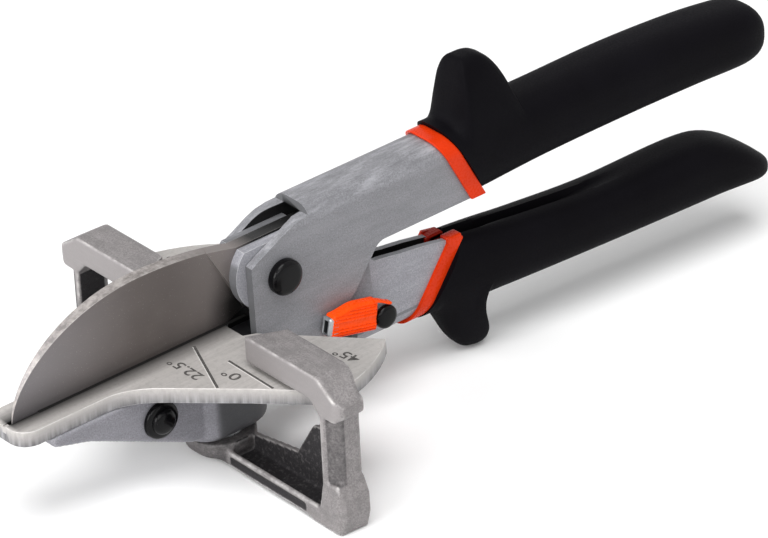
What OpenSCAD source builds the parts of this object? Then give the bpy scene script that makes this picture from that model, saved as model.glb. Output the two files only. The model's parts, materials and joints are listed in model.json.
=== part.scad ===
// Mitre shears with a swivelling fence, handles closed.
// The tool's own axes: X runs along the cutting edge from the blade's tip to the handles,
// Y is square to the blade, and Z is square to the table, whose top is at zero.
// The cutting plane is at Y zero. stand() then sets the tool down on its feet.

/* [Levers] */
// Distance from the blade's tip to the middle of the levers' hub
hub_x = 70.5; // [68:0.5:76]
// Height of the middle of the hub above the table
hub_z = 12.2; // [11:0.2:14]
// Distance of the main pivot behind the middle of the hub
pivot_back = 1.3; // [0.5:0.1:2]
// Depth of the main pivot below the middle of the hub
pivot_drop = 1.4; // [0.5:0.1:2]
// Sheet thickness of the upper channel
upper_sheet = 2.1; // [1.6:0.1:2.6]
// Sheet thickness of the lower channel at its hub
lower_sheet = 2.5; // [2:0.1:3]
// Sheet thickness of the lower channel behind the hub
trough_sheet = 1.5; // [1.2:0.1:2]
// Height of the upper channel's lower edge
upper_edge_z = 8; // [7:0.25:10]
// Height of the upper channel's crown
upper_crown_z = 24.5; // [23.5:0.1:26]
// Outer radius of the upper channel's bends
crown_bend = 4; // [3.4:0.1:4.6]
// Depth of the lower channel's floor below the table
lower_floor_z = -19; // [-21:0.25:-18]
// Length of both channels behind the hub
channel_reach = 104; // [95:1:115]
// Radius of the lower channel's front end at its hub
hub_r = 10; // [9:0.25:11]

/* [Blade] */
// Length of the cutting edge
blade_len = 60; // [56:1:62]
// Thickness of the blade and its tang
blade_t = 3; // [2.6:0.1:3.4]
// Greatest height of the spine above the table
blade_h = 23.2; // [21:0.2:25]
// Depth of the cutting edge below the table's top
edge_sink = 0.8; // [0.4:0.1:1]
// Thickness left at the cutting edge
edge_land = 0.2; // [0.15:0.05:0.3]
// Lean of the line where the grind ends
grind_lean = 60; // [50:1:70]
// Length of the tang behind the hub
tang_reach = 13; // [11:0.5:15]

/* [Table] */
// Thickness of the table
table_t = 3.8; // [3:0.2:5]
// Half width of the table's narrow front
table_nose_w = 6.6; // [5.5:0.1:7.5]
// Radius of the wings about the fence's axis
wing_r = 38.7; // [36:0.25:40]
// Width of the slot for the cutting edge
slot_w = 1; // [0.8:0.1:1.4]
// Depth of the slot
slot_depth = 1.6; // [1.2:0.1:2]
// Thickness of the rib under the table
rib_t = 5; // [4:0.25:6]

/* [Jaw] */
// Width of the cast jaw
jaw_w = 11.2; // [10:0.2:12]
// Depth of the boss below the table's top
boss_z = -24.1; // [-25:0.1:-23]
// Half width of the boss
boss_r = 7.3; // [6.5:0.1:8]
// Position of the cross screw along the jaw
jaw_screw_x = 35.7; // [32:0.25:38]
// Depth of the cross screw below the table's top
jaw_screw_z = -11.2; // [-12:0.1:-10]

/* [Fence] */
// Position of the fence's axis along the blade
fence_x = 56.4; // [55:0.2:58]
// Distance of the fence's face in front of its axis
fence_lead = 4.3; // [4:0.1:5]
// Depth of the bars from front to back
bar_depth = 9.2; // [8:0.1:10]
// Half length of the fence
fence_half = 49.6; // [48:0.2:52]
// Width of a post
post_w = 7; // [6:0.1:8]
// Depth of a post from front to back
post_depth = 7.5; // [6.5:0.1:8.5]
// Height of the fence's top above the table
fence_top_z = 7.7; // [7:0.1:9]
// Gap between the table and the top bars
fence_gap = 1.2; // [0.8:0.1:2]
// Distance of the top bars' inner ends from the cutting plane, at the front
bar_inner = 17.7; // [17:0.1:20]
// Depth of the fence's feet below the table's top
foot_z = -30.5; // [-32:0.25:-29]
// Height of the bottom bars
low_bar_h = 3.8; // [3:0.1:4.5]
// Radius of the fence's hub
fence_hub_r = 8.3; // [7.5:0.1:9]

/* [Grips] */
// Length of the upper grip's end beyond the hub
upper_end = 152; // [148:0.5:160]
// Length of the lower grip's end beyond the hub
lower_end = 153.5; // [150:0.5:162]
// Half width of the grips
grip_half_w = 8.2; // [7.6:0.1:9]
// Height of the thumb stop above the upper grip
thumb_stop_h = 15; // [11:0.5:16]
// Depth of the finger stop's tip below the table's top
finger_stop_z = -34.6; // [-36:0.2:-33]
// Thickness of the collars
collar_t = 0.9; // [0.6:0.1:1.2]
// Width of the collars along the handles
collar_w = 4.3; // [3.5:0.1:5]

/* [Latch] */
// Position of the latch's pin along the blade
latch_x = 98; // [96:0.25:100]
// Depth of the latch's pin below the table's top
latch_z = -9.6; // [-11:0.1:-9]
// Length of the latch in front of its pin
latch_len = 16.5; // [14:0.25:18]
// Height of the thumb piece
latch_h = 6; // [5:0.1:7]
// Thickness of the thumb piece
latch_t = 3.6; // [3:0.1:4.2]
// Slope of the latch against the table
latch_slope = 13; // [8:0.5:16]

/* [Fasteners] */
// Diameter of the main pivot's bolt
pivot_d = 5; // [4:0.1:6]
// Diameter of the main pivot's bush
bush_d = 7; // [6.4:0.1:8]
// Diameter of the screw heads
screw_head_d = 8.6; // [8:0.1:10]
// Height of the screw heads
screw_head_h = 2.6; // [2:0.1:4]
// Diameter of the jaw's cross screw
jaw_screw_d = 4; // [3:0.1:5]
// Diameter of the fence's screw
fence_screw_d = 6; // [5:0.1:7]
// Diameter of the rivets
rivet_d = 4; // [3:0.1:5]
// Diameter of the latch's pin
latch_pin_d = 3.4; // [3:0.1:4]
// Diameter of the spring's wire
wire_d = 0.8; // [0.6:0.05:0.9]

/* [Clearances] */
// Play between the two levers, on each side
side_play = 0.15; // [0.1:0.01:0.25]
// Radial clearance of a turning pin
run_gap = 0.05; // [0.02:0.01:0.1]
// Gap between pieces that pass each other
pass_gap = 0.35; // [0.3:0.01:0.6]

/* [Hidden] */
$fn = 48;
mid_y = -blade_t / 2;
pivot_x = hub_x + pivot_back;
pivot_z = hub_z - pivot_drop;
lower_half = blade_t / 2 + lower_sheet;
upper_inner = lower_half + side_play;
upper_half = upper_inner + upper_sheet;
channel_end = hub_x + channel_reach;
fence_face = fence_x - fence_lead;
jaw_top = -table_t;
nose_x = -1;
notch_x = blade_len;
cheek_x = blade_len + 2.7;
cheek_low_z = -19;
tube_x = hub_x + 9.9;
collar_lean = 35.5;
collar_slant = -27.5;
upper_collar_x = hub_x + 50.7;
lower_collar_x = hub_x + 52.2;
lower_rim_z = -0.2;
hub_top_z = hub_z + 6.8;
tang_top_z = hub_top_z + 0.6;
tongue_x = hub_x + 0.3;
latch_y = mid_y - upper_half - pass_gap;
finger_x = hub_x + 47.1;
stop_x = finger_x + 11.6;
stand_tilt = atan((foot_z - finger_stop_z) / (stop_x - fence_face));
lower_tip_z = lower_floor_z - 7;
front_reach = nose_x * cos(stand_tilt);
back_reach = (hub_x + lower_end) * cos(stand_tilt) - lower_tip_z * sin(stand_tilt);
origin_x = (front_reach + back_reach) / 2;
ground_z = fence_face * sin(stand_tilt) + foot_z * cos(stand_tilt);

// Sets the tool down on the fence's feet and the finger stop, over the middle of its length
module stand() {
    translate([-origin_x, 0, -ground_z])
    rotate([0, -stand_tilt, 0])
    children();
}

// Extrudes an outline in X and Z across the tool, from y0 to y1
module across(y0, y1) {
    translate([0, y1, 0])
    rotate([90, 0, 0])
    linear_extrude(y1 - y0)
    children();
}

// Extrudes an outline in Y and Z along the tool, from x0 to x1
module along(x0, x1) {
    translate([x0, 0, 0])
    rotate([90, 0, 90])
    linear_extrude(x1 - x0)
    children();
}

// A round bar across the tool
module bar_y(x, z, y0, y1, d) {
    translate([x, y1, z])
    rotate([90, 0, 0])
    cylinder(h = y1 - y0, d = d);
}

// A round bar square to the table
module bar_z(x, y, z0, z1, d) {
    translate([x, y, z0])
    cylinder(h = z1 - z0, d = d);
}

// Points on an arc from angle a0 to angle a1
function arc(x, z, r, a0, a1, steps = 12) =
    [for (i = [0 : steps])
        let (a = a0 + (a1 - a0) * i / steps)
        [x + r * cos(a), z + r * sin(a)]];

// Smooth step from 0 to 1
function ease(t) = let (u = min(1, max(0, t))) u * u * (3 - 2 * u);

// Height and slope tables: value of column c at x, with a smooth curve through the rows
function tangent(rows, i, c) =
    let (a = max(0, i - 1), b = min(len(rows) - 1, i + 1))
    (rows[b][c] - rows[a][c]) / (rows[b][0] - rows[a][0]);
function row_at(rows, x, i = 0) = (i >= len(rows) - 2 || x <= rows[i + 1][0]) ? i : row_at(rows, x, i + 1);
function curve(rows, x, c) =
    let (i = row_at(rows, x), w = rows[i + 1][0] - rows[i][0], t = (x - rows[i][0]) / w)
    (1 + 2 * t) * (1 - t) * (1 - t) * rows[i][c] + t * (1 - t) * (1 - t) * w * tangent(rows, i, c)
    + t * t * (3 - 2 * t) * rows[i + 1][c] - t * t * (1 - t) * w * tangent(rows, i + 1, c);

// Skin through rings of equal count, closed at both ends
module skin(rings) {
    n = len(rings[0]);
    m = len(rings);
    points = [for (ring = rings) each ring];
    walls = [for (k = [0 : m - 2], j = [0 : n - 1])
        let (a = k * n + j, b = k * n + (j + 1) % n)
        each [[a, b, b + n], [a, b + n, a + n]]];
    first = [for (j = [1 : n - 2]) [0, j + 1, j]];
    last = [for (j = [1 : n - 2]) [(m - 1) * n, (m - 1) * n + j, (m - 1) * n + j + 1]];
    polyhedron(points = points, faces = concat(first, walls, last), convexity = 6);
}

// One ring of a grip: a rounded section square to X
ring_sides = 28;
ring_power = 0.74;
function signed_power(v, p) = v < 0 ? -pow(-v, p) : pow(v, p);
stop_taper = 0.35;
function grip_ring(x, z0, z1, w, up = 0, down = 0) = [for (j = [0 : ring_sides - 1])
    let (
        a = 360 * j / ring_sides,
        c = signed_power(cos(a), ring_power),
        d = signed_power(sin(a), ring_power),
        narrow = 1 - stop_taper * (up * max(0, d) + down * max(0, -d))
    )
    [x, mid_y + w * c * narrow, (z0 + z1) / 2 + (z1 - z0) / 2 * d]];

// Outline of the upper channel's section: straight sides and a crown with rounded bends
module arch(half, top, low, bend) {
    union() {
        for (side = [-1, 1]) translate([mid_y + side * (half - bend), top - bend]) circle(r = bend);
        translate([mid_y - half, low]) square([2 * half, top - bend - low]);
        translate([mid_y - half + bend, low]) square([2 * (half - bend), top - low]);
    }
}

// Outline of the lower channel's section: a trough with straight sides
module trough(half, low, top) {
    union() {
        translate([mid_y, low + half]) circle(r = half);
        translate([mid_y - half, low + half]) square([2 * half, top - low - half]);
    }
}

// Side outline of the upper channel and its cheeks
cheek_rear = [hub_x + 22, -1.6];
shank_x = upper_collar_x + 8.3;
shank_edge_z = upper_edge_z + 5;
module upper_side() {
    polygon(concat(
        [[cheek_x + 1.2, cheek_low_z], [cheek_x + 0.6, hub_z + 3.5], [cheek_x + 3.2, hub_z + 5]],
        [[cheek_x + 6.2, hub_z + 6.5], [cheek_x + 9.2, hub_z + 8.1], [cheek_x + 12, hub_z + 9.3]],
        [[cheek_x + 15, hub_z + 10], [tube_x, hub_z + 10.1]],
        [[tube_x, upper_crown_z + 2], [channel_end, upper_crown_z + 2]],
        [[channel_end, shank_edge_z], [shank_x - 2.6, shank_edge_z], [shank_x, upper_edge_z]],
        arc(hub_x + 31, upper_edge_z - 3.5, 3.5, 90, 148, 6),
        [cheek_rear, [hub_x + 12, -13], [hub_x + 6, cheek_low_z]]
    ));
}

// The upper channel's bent sheet
module upper_shell() {
    intersection() {
        along(cheek_x - 1, channel_end) {
            difference() {
                arch(upper_half, upper_crown_z, cheek_low_z, crown_bend);
                arch(upper_inner, upper_crown_z - upper_sheet, cheek_low_z - 1, crown_bend - upper_sheet);
            }
        }
        across(mid_y - upper_half - 1, mid_y + upper_half + 1) upper_side();
    }
}

module upper_channel() {
    stand()
    color("darkgray")
    difference() {
        upper_shell();
        bar_y(pivot_x, pivot_z, -20, 20, pivot_d);
        for (p = cheek_rivet_at) bar_y(p[0], p[1], -20, 20, rivet_d);
    }
}

// Side outline of a slanted band: x at the height z_ref, leaning by an angle, between two heights
module band(x, z_ref, lean, width, z0, z1) {
    s = tan(lean);
    polygon([
        [x + (z0 - z_ref) * s, z0], [x + (z1 - z_ref) * s, z1],
        [x + (z1 - z_ref) * s + width, z1], [x + (z0 - z_ref) * s + width, z0]
    ]);
}

// Height at which the upper collar's position is given
upper_collar_z = upper_edge_z + 11;

module upper_collar() {
    stand()
    color("orangered")
    difference() {
        intersection() {
            along(upper_collar_x - 10, upper_collar_x + 14)
                arch(upper_half + collar_t, upper_crown_z + collar_t, upper_edge_z, crown_bend + collar_t);
            across(mid_y - grip_half_w - 2, mid_y + grip_half_w + 2)
                band(upper_collar_x, upper_collar_z, collar_slant, collar_w, upper_edge_z - 1,
                    upper_crown_z + 2);
        }
        along(upper_collar_x - 11, upper_collar_x + 15)
            arch(upper_half, upper_crown_z, upper_edge_z - 1, crown_bend);
    }
}

// Rows of the upper grip: x, lower edge, upper edge, half width
upper_top = upper_crown_z + 2.6;
upper_low = upper_edge_z + 0.6;
upper_grip_rows = [
    [hub_x + 40, upper_low, upper_top, grip_half_w - 0.4],
    [hub_x + 80, upper_low, upper_top - 1, grip_half_w - 0.2],
    [hub_x + upper_end - 46, upper_low + 0.2, upper_top - 1, grip_half_w],
    [hub_x + upper_end - 24, upper_low - 0.2, upper_top - 2.6, grip_half_w],
    [hub_x + upper_end - 10, upper_low - 1, upper_top - 5, grip_half_w - 0.2],
    [hub_x + upper_end - 5, upper_low - 1.2, upper_top - 6.6, grip_half_w - 1],
    [hub_x + upper_end - 2.2, upper_low - 0.4, upper_top - 8.4, grip_half_w - 2.2],
    [hub_x + upper_end - 0.7, upper_low + 1.4, upper_top - 10.6, grip_half_w - 4],
    [hub_x + upper_end, upper_low + 3.4, upper_top - 12.8, grip_half_w - 6.2]
];
thumb_x = hub_x + 51.9;
function thumb_rise(x) =
    let (t = (x - thumb_x - 8.6) / 13)
    ease((x - thumb_x - 1.7) / 4.6) * (t < 0 ? 1 : max(0, 1 - pow(t, 2.4)));
upper_stations = concat(
    [upper_collar_x - 10, upper_collar_x - 4],
    [for (i = [0 : 8]) thumb_x + i * 0.9],
    [for (i = [1 : 13]) thumb_x + 7.2 + i * 1.4],
    [for (i = [1 : 8]) thumb_x + 26 + i * (hub_x + upper_end - 14 - thumb_x - 26) / 8],
    [for (k = [10, 6.5, 4, 2.2, 1, 0.3, 0]) hub_x + upper_end - k]
);

// The room in front of a collar's rear face
module in_front(x, z_ref, lean, z0, z1) {
    across(-40, 40) band(x - 60, z_ref, lean, 60, z0, z1);
}

module upper_grip() {
    stand()
    color([0.1, 0.1, 0.11])
    difference() {
        skin([for (x = upper_stations)
            grip_ring(x, curve(upper_grip_rows, x, 1),
                curve(upper_grip_rows, x, 2) + thumb_stop_h * thumb_rise(x),
                curve(upper_grip_rows, x, 3), thumb_rise(x), 0)]);
        in_front(upper_collar_x + collar_w, upper_collar_z, collar_slant, -10, 48);
        upper_shell();
    }
}

// Places of the rivets that hold the cheeks on the jaw's tongue
cheek_rivet_at = [[cheek_x + 4.6, -7], [cheek_x + 4.8, -14.6]];

// Side outline of the jaw
module jaw_side() {
    polygon([
        [nose_x + 7, jaw_top], [nose_x + 8.4, jaw_top - 2.6], [fence_x - 39.5, jaw_top - 5.2],
        [fence_x - 12, boss_z + 2.6], [fence_x, boss_z + 2], [fence_x, jaw_top]
    ]);
}

module jaw_body() {
    stand()
    color("gray")
    difference() {
        union() {
            across(mid_y - jaw_w / 2, mid_y + jaw_w / 2) jaw_side();
            jaw_boss();
            translate([fence_x, mid_y - upper_inner, cheek_low_z])
                cube([tongue_x - fence_x, 2 * upper_inner, jaw_top - cheek_low_z]);
        }
        rib();
        bar_y(jaw_screw_x, jaw_screw_z, -20, 20, jaw_screw_d);
        bar_z(fence_x, mid_y, boss_z - 1, boss_z + 12, fence_screw_d);
        for (p = cheek_rivet_at) bar_y(p[0], p[1], -20, 20, rivet_d);
        across(mid_y - boss_r - 1, mid_y - upper_inner) tongue_clear();
        across(mid_y + upper_inner, mid_y + boss_r + 1) tongue_clear();
    }
}

// The boss over the fence: an oval along the jaw with a bevelled bottom edge
boss_ends = [fence_x - 3.6, fence_x + 4.4];
boss_bevel = 1.8;
module jaw_boss() {
    for (x = boss_ends) {
        translate([x, mid_y, boss_z]) cylinder(h = boss_bevel, r1 = boss_r - boss_bevel, r2 = boss_r);
        bar_z(x, mid_y, boss_z + boss_bevel, jaw_top, 2 * boss_r);
    }
    along(boss_ends[0], boss_ends[1])
        polygon([
            [mid_y - boss_r, jaw_top], [mid_y - boss_r, boss_z + boss_bevel],
            [mid_y - boss_r + boss_bevel, boss_z], [mid_y + boss_r - boss_bevel, boss_z],
            [mid_y + boss_r, boss_z + boss_bevel], [mid_y + boss_r, jaw_top]
        ]);
}

// Side outline of the room that the cheeks take beside the jaw
module tongue_clear() {
    polygon([
        [cheek_x + 1.2, cheek_low_z], [cheek_x, jaw_top + 1], [cheek_x + 20, jaw_top + 1],
        [cheek_x + 20, cheek_low_z]
    ]);
}

// The rib under the table, which sits in a slot of the jaw
rib_x0 = jaw_screw_x - 4;
rib_x1 = jaw_screw_x + 11;
rib_z = jaw_screw_z - 3.6;
module rib() {
    translate([rib_x0, mid_y - rib_t / 2, rib_z])
        cube([rib_x1 - rib_x0, rib_t, jaw_top - rib_z + 1]);
}

function backwards(v) = [for (i = [len(v) - 1 : -1 : 0]) v[i]];

// Plan of the table, near half for side -1 and far half for side 1
function wing_angle(x) = acos((x - fence_x) / wing_r);
function table_half(side) = concat(
    arc(nose_x + 4.6, side * (table_nose_w - 4.6), 4.6, 180, 180 - side * 90, 6),
    [for (i = [0 : 6]) let (t = i / 6) [22 + 12 * t, side * (table_nose_w + 6.2 * t * t)]],
    [[46.9, side * 25.8]],
    [for (i = [0 : 8]) let (a = wing_angle(60) + (wing_angle(fence_x + 25.4) - wing_angle(60)) * i / 8)
        [fence_x + wing_r * cos(a), mid_y + side * wing_r * sin(a)]],
    [[cheek_x, mid_y + side * (upper_half + 0.8)], [notch_x, mid_y + side * (upper_half - 0.4)]]
);

module table_plate() {
    stand()
    color("silver")
    difference() {
        union() {
            translate([0, 0, -table_t])
                linear_extrude(table_t)
                polygon(concat(table_half(-1), backwards(table_half(1))));
            rib();
        }
        translate([nose_x - 5, -(slot_w + edge_land) / 2, -slot_depth])
            cube([blade_len + 10, slot_w, slot_depth + 1]);
        bar_y(jaw_screw_x, jaw_screw_z, -20, 20, jaw_screw_d);
    }
}

// A screw or pin across the tool: domed head on the near side, shank to the far side.
// A socket diameter of zero leaves the head plain.
module cross_screw(x, z, d, y_seat, y_end, head_d, head_h, socket_d) {
    dome = head_h * 0.45;
    ball = (head_d * head_d / 4 + dome * dome) / (2 * dome);
    bar_y(x, z, y_seat, y_end, d);
    translate([x, y_seat, z])
    rotate([90, 0, 0])
    difference() {
        union() {
            cylinder(h = head_h - dome, d = head_d);
            translate([0, 0, head_h - dome])
            intersection() {
                translate([0, 0, dome - ball]) sphere(r = ball);
                cylinder(h = dome + 1, d = head_d);
            }
        }
        if (socket_d > 0) translate([0, 0, head_h - 1.6]) cylinder(h = 3, d = socket_d, $fn = 6);
    }
}

// A hexagon nut round a screw across the tool, on the far side
module cross_nut(x, z, d, y_seat, size, height) {
    translate([x, y_seat + height, z])
    rotate([90, 0, 0])
    difference() {
        cylinder(h = height, d = size, $fn = 6);
        translate([0, 0, -1]) cylinder(h = height + 2, d = d);
    }
}

jaw_nut_h = 3.2;
pivot_nut_h = 2.6;
pivot_washer_t = 0.6;

module jaw_screw() {
    stand()
    color([0.08, 0.08, 0.09])
    cross_screw(jaw_screw_x, jaw_screw_z, jaw_screw_d, mid_y - jaw_w / 2, mid_y + jaw_w / 2 + jaw_nut_h,
        screw_head_d + 0.4, screw_head_h + 0.2, jaw_screw_d);
}

module jaw_nut() {
    stand()
    color([0.15, 0.15, 0.16])
    cross_nut(jaw_screw_x, jaw_screw_z, jaw_screw_d, mid_y + jaw_w / 2, 8, jaw_nut_h);
}

module cheek_rivets() {
    stand()
    color("gray")
    for (p = cheek_rivet_at) {
        bar_y(p[0], p[1], mid_y - upper_half, mid_y + upper_half, rivet_d);
        bar_y(p[0], p[1], mid_y - upper_half - 0.8, mid_y - upper_half, rivet_d + 2.4);
        bar_y(p[0], p[1], mid_y + upper_half, mid_y + upper_half + 0.8, rivet_d + 2.4);
    }
}

module pivot_bolt() {
    stand()
    color([0.08, 0.08, 0.09])
    cross_screw(pivot_x, pivot_z, pivot_d, mid_y - upper_half,
        mid_y + upper_half + pivot_washer_t + pivot_nut_h, screw_head_d, screw_head_h, 0);
}

module pivot_washer() {
    stand()
    color([0.15, 0.15, 0.16])
    difference() {
        bar_y(pivot_x, pivot_z, mid_y + upper_half, mid_y + upper_half + pivot_washer_t, screw_head_d + 1);
        bar_y(pivot_x, pivot_z, mid_y, mid_y + 20, pivot_d);
    }
}

module pivot_nut() {
    stand()
    color([0.12, 0.12, 0.13])
    cross_nut(pivot_x, pivot_z, pivot_d, mid_y + upper_half + pivot_washer_t, screw_head_d, pivot_nut_h);
}

module pivot_bush() {
    stand()
    color("tan")
    difference() {
        bar_y(pivot_x, pivot_z, mid_y - upper_inner, mid_y + upper_inner, bush_d);
        bar_y(pivot_x, pivot_z, mid_y - 20, mid_y + 20, pivot_d);
    }
}

fence_washer_t = 0.5;
fence_hub_z = boss_z - fence_washer_t;
fence_web = 2.4;
fence_head_h = 2.4;

module fence_screw() {
    stand()
    color([0.15, 0.15, 0.16])
    difference() {
        union() {
            bar_z(fence_x, mid_y, fence_hub_z - fence_web - run_gap, boss_z + 12, fence_screw_d);
            bar_z(fence_x, mid_y, fence_hub_z - fence_web - run_gap - fence_head_h,
                fence_hub_z - fence_web - run_gap, fence_screw_d + 4);
        }
        translate([fence_x, mid_y, fence_hub_z - fence_web - fence_head_h - 1])
            cylinder(h = 2.4, d = fence_screw_d * 0.7, $fn = 6);
    }
}

module fence_washer() {
    stand()
    color("lightgray")
    difference() {
        bar_z(fence_x, mid_y, fence_hub_z + run_gap, boss_z, 2 * (boss_r - boss_bevel));
        bar_z(fence_x, mid_y, boss_z - 5, boss_z + 5, fence_screw_d);
    }
}

// Side outline of the lower channel's walls in front of its trough, and the rim behind it
wall_x = hub_x + 23.5;
rim_line = [
    [wall_x + 6, lower_rim_z + 2], [wall_x + 9, lower_rim_z + 1.6], [wall_x + 13.5, lower_rim_z + 0.8],
    [wall_x + 20, lower_rim_z - 0.1]
];
module lower_side() {
    polygon(concat(
        arc(hub_x, hub_z, hub_r, 180 - asin((hub_top_z - hub_z) / hub_r), 300, 20),
        [[wall_x, lower_floor_z + lower_half], [wall_x + 20, lower_floor_z + lower_half]],
        backwards(rim_line), [[hub_x + 10, hub_top_z]]
    ));
}

// Slope of the lower channel's rim behind its hub
far_rim_drop = 1.6;
module rim_cut(drop) {
    translate([0, -drop])
    polygon(concat(
        [[wall_x + 4, 60], [wall_x + 4, lower_rim_z + 3.6]], rim_line,
        [[hub_x + 53, lower_rim_z - 1.9], [hub_x + 56, lower_rim_z - 7]],
        [[channel_end + 1, lower_rim_z - 12], [channel_end + 1, 60]]
    ));
}

// The lower channel's bent sheet
module lower_shell() {
    difference() {
        union() {
            difference() {
                across(mid_y - lower_half, mid_y + lower_half) lower_side();
                across(mid_y - blade_t / 2, mid_y + blade_t / 2)
                    polygon([[0, 40], [wall_x + 30, 40], [wall_x + 30, lower_floor_z], [0, lower_floor_z]]);
            }
            along(wall_x, channel_end) {
                difference() {
                    trough(lower_half, lower_floor_z, lower_rim_z + 3.6);
                    trough(blade_t / 2, lower_floor_z + lower_sheet, lower_rim_z + 6);
                }
            }
        }
        along(wall_x + 2, channel_end + 1)
            trough(lower_half - trough_sheet, lower_floor_z + trough_sheet, lower_rim_z + 6);
        across(-20, mid_y) rim_cut(0);
        across(mid_y, 20) rim_cut(far_rim_drop);
    }
}

module lower_channel() {
    stand()
    color("darkgray")
    difference() {
        lower_shell();
        bar_y(pivot_x, pivot_z, -20, 20, bush_d + 2 * run_gap);
        for (p = blade_rivet_at) bar_y(p[0], p[1], -20, 20, rivet_d);
        bar_y(spring_x, spring_z, -20, 20, spring_pin_d);
        bar_y(latch_x, latch_z, -20, mid_y, latch_pin_d);
    }
}

// Side outline of everything in front of a line that leans up to a bend and stands upright above it
collar_bend_z = lower_rim_z - 2.2;
collar_bend_x = lower_collar_x - 2.2 * tan(collar_lean);
module ahead(shift) {
    polygon([
        [collar_bend_x + shift - 60, -50],
        [collar_bend_x + shift - (collar_bend_z + 50) * tan(collar_lean), -50],
        [collar_bend_x + shift, collar_bend_z],
        [collar_bend_x + shift, 10], [collar_bend_x + shift - 60, 10]
    ]);
}

// Room over the lower collar's sloping top
module over_collar(drop) {
    polygon([
        [collar_bend_x - 30, lower_rim_z - 0.8 - drop], [collar_bend_x, lower_rim_z - 0.8 - drop],
        [collar_bend_x + collar_w + 1, lower_rim_z - 1.8 - drop], [collar_bend_x + collar_w + 1, 20],
        [collar_bend_x - 30, 20]
    ]);
}

module lower_collar() {
    stand()
    color("orangered")
    difference() {
        intersection() {
            along(lower_collar_x - 40, lower_collar_x + 20)
                trough(lower_half + collar_t, lower_floor_z - collar_t, lower_rim_z + 3);
            across(-20, 20) ahead(collar_w);
        }
        across(-21, 21) ahead(0);
        across(-21, mid_y) over_collar(0);
        across(mid_y, 21) over_collar(far_rim_drop);
        along(lower_collar_x - 41, lower_collar_x + 21) trough(lower_half, lower_floor_z, lower_rim_z + 4);
    }
}

// Rows of the lower grip: x, lower edge, upper edge, half width
lower_grip_rows = [
    [hub_x + 34, lower_floor_z - 1.4, lower_rim_z - 0.6, lower_half + 1.6],
    [hub_x + 46, lower_floor_z - 1.6, lower_rim_z - 1.2, lower_half + 2],
    [hub_x + 62, lower_floor_z - 1.8, lower_rim_z - 3.2, grip_half_w - 0.8],
    [hub_x + 76, lower_floor_z - 2.4, lower_rim_z - 5.2, grip_half_w - 0.3],
    [hub_x + lower_end - 53.5, lower_floor_z - 3.4, lower_rim_z - 7.6, grip_half_w],
    [hub_x + lower_end - 28.5, lower_floor_z - 4.6, lower_rim_z - 7.8, grip_half_w],
    [hub_x + lower_end - 20, lower_floor_z - 5, lower_rim_z - 9, grip_half_w],
    [hub_x + lower_end - 15.5, lower_floor_z - 5.4, lower_rim_z - 11, grip_half_w],
    [hub_x + lower_end - 11, lower_floor_z - 6, lower_rim_z - 14.4, grip_half_w - 0.2],
    [hub_x + lower_end - 6, lower_floor_z - 7, lower_rim_z - 18.7, grip_half_w - 1],
    [hub_x + lower_end - 2.5, lower_floor_z - 8, lower_rim_z - 21.8, grip_half_w - 2.6],
    [hub_x + lower_end - 0.7, lower_floor_z - 8, lower_rim_z - 24, grip_half_w - 4.6],
    [hub_x + lower_end, lower_floor_z - 7.2, lower_rim_z - 25, grip_half_w - 6.2]
];
// Rows of the finger stop: distance behind its front, share of its full depth
finger_rows = [
    [0, 0], [2.3, 0.31], [4.8, 0.63], [6.6, 0.8], [8.3, 0.91], [9.9, 0.97], [11.6, 1], [13.3, 0.985],
    [14.1, 0.94], [14.5, 0.8], [14.7, 0.36], [15, 0.1], [15.8, 0]
];
finger_len = 15.8;
function finger_drop(x) =
    let (u = x - finger_x)
    u <= 0 || u >= finger_len ? 0 : min(1, max(0, curve(finger_rows, u, 1)));
lower_stations = concat(
    [hub_x + 34, hub_x + 40],
    [for (i = [0 : len(finger_rows) - 2], k = [0, 0.5])
        finger_x + finger_rows[i][0] * (1 - k) + finger_rows[i + 1][0] * k],
    [for (i = [0 : 10]) finger_x + finger_len + i * (hub_x + lower_end - 22 - finger_x - finger_len) / 10],
    [for (k = [18, 15, 12, 9, 6, 3.6, 1.8, 0.7, 0.2, 0]) hub_x + lower_end - k]
);

module lower_grip() {
    stand()
    color([0.1, 0.1, 0.11])
    difference() {
        skin([for (x = lower_stations)
            let (low = curve(lower_grip_rows, x, 1))
            grip_ring(x, low - (low - finger_stop_z) * finger_drop(x), curve(lower_grip_rows, x, 2),
                curve(lower_grip_rows, x, 3), 0, finger_drop(x))]);
        across(-40, 40) ahead(collar_w);
        lower_shell();
        across(mid_y - groove_w / 2, mid_y + groove_w / 2) groove();
    }
}

// Open groove in the top of the lower grip, shallower towards the rear
groove_w = blade_t;
module groove() {
    polygon([
        [wall_x, 20], [wall_x, lower_floor_z + lower_sheet + 1], [hub_x + 56, lower_rim_z - 8],
        [hub_x + 98, lower_rim_z - 5], [hub_x + 98, 20]
    ]);
}

// Height of the blade's spine along its length
crest_x = 0.6 * blade_len;
tip_x = 1.2;
spine_round = 0.57;
function spine(x) = x < crest_x
    ? blade_h * pow(1 - pow((crest_x - x) / (crest_x - tip_x), 2), spine_round)
    : blade_h - (blade_h - tang_top_z) * pow((x - crest_x) / (cheek_x - crest_x), 2);

module blade_side() {
    polygon(concat(
        [[tip_x, -edge_sink]],
        [for (i = [0 : 20]) let (x = tip_x + (crest_x - tip_x) * pow(i / 20, 1.7)) [x, spine(x)]],
        [for (i = [1 : 8]) let (x = crest_x + (cheek_x - crest_x) * i / 8) [x, spine(x)]],
        [[hub_x + tang_reach, tang_top_z], [hub_x + tang_reach, hub_z - 6]],
        [[hub_x, hub_z - 8], [blade_len, -edge_sink]]
    ));
}

// Section of the metal that the grind takes away
module grind_section() {
    polygon([
        [-edge_land, -edge_sink - 1], [-edge_land, -edge_sink], [-blade_t, blade_h], [-blade_t, blade_h + 1],
        [-blade_t - 2, blade_h + 1], [-blade_t - 2, -edge_sink - 1]
    ]);
}

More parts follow.
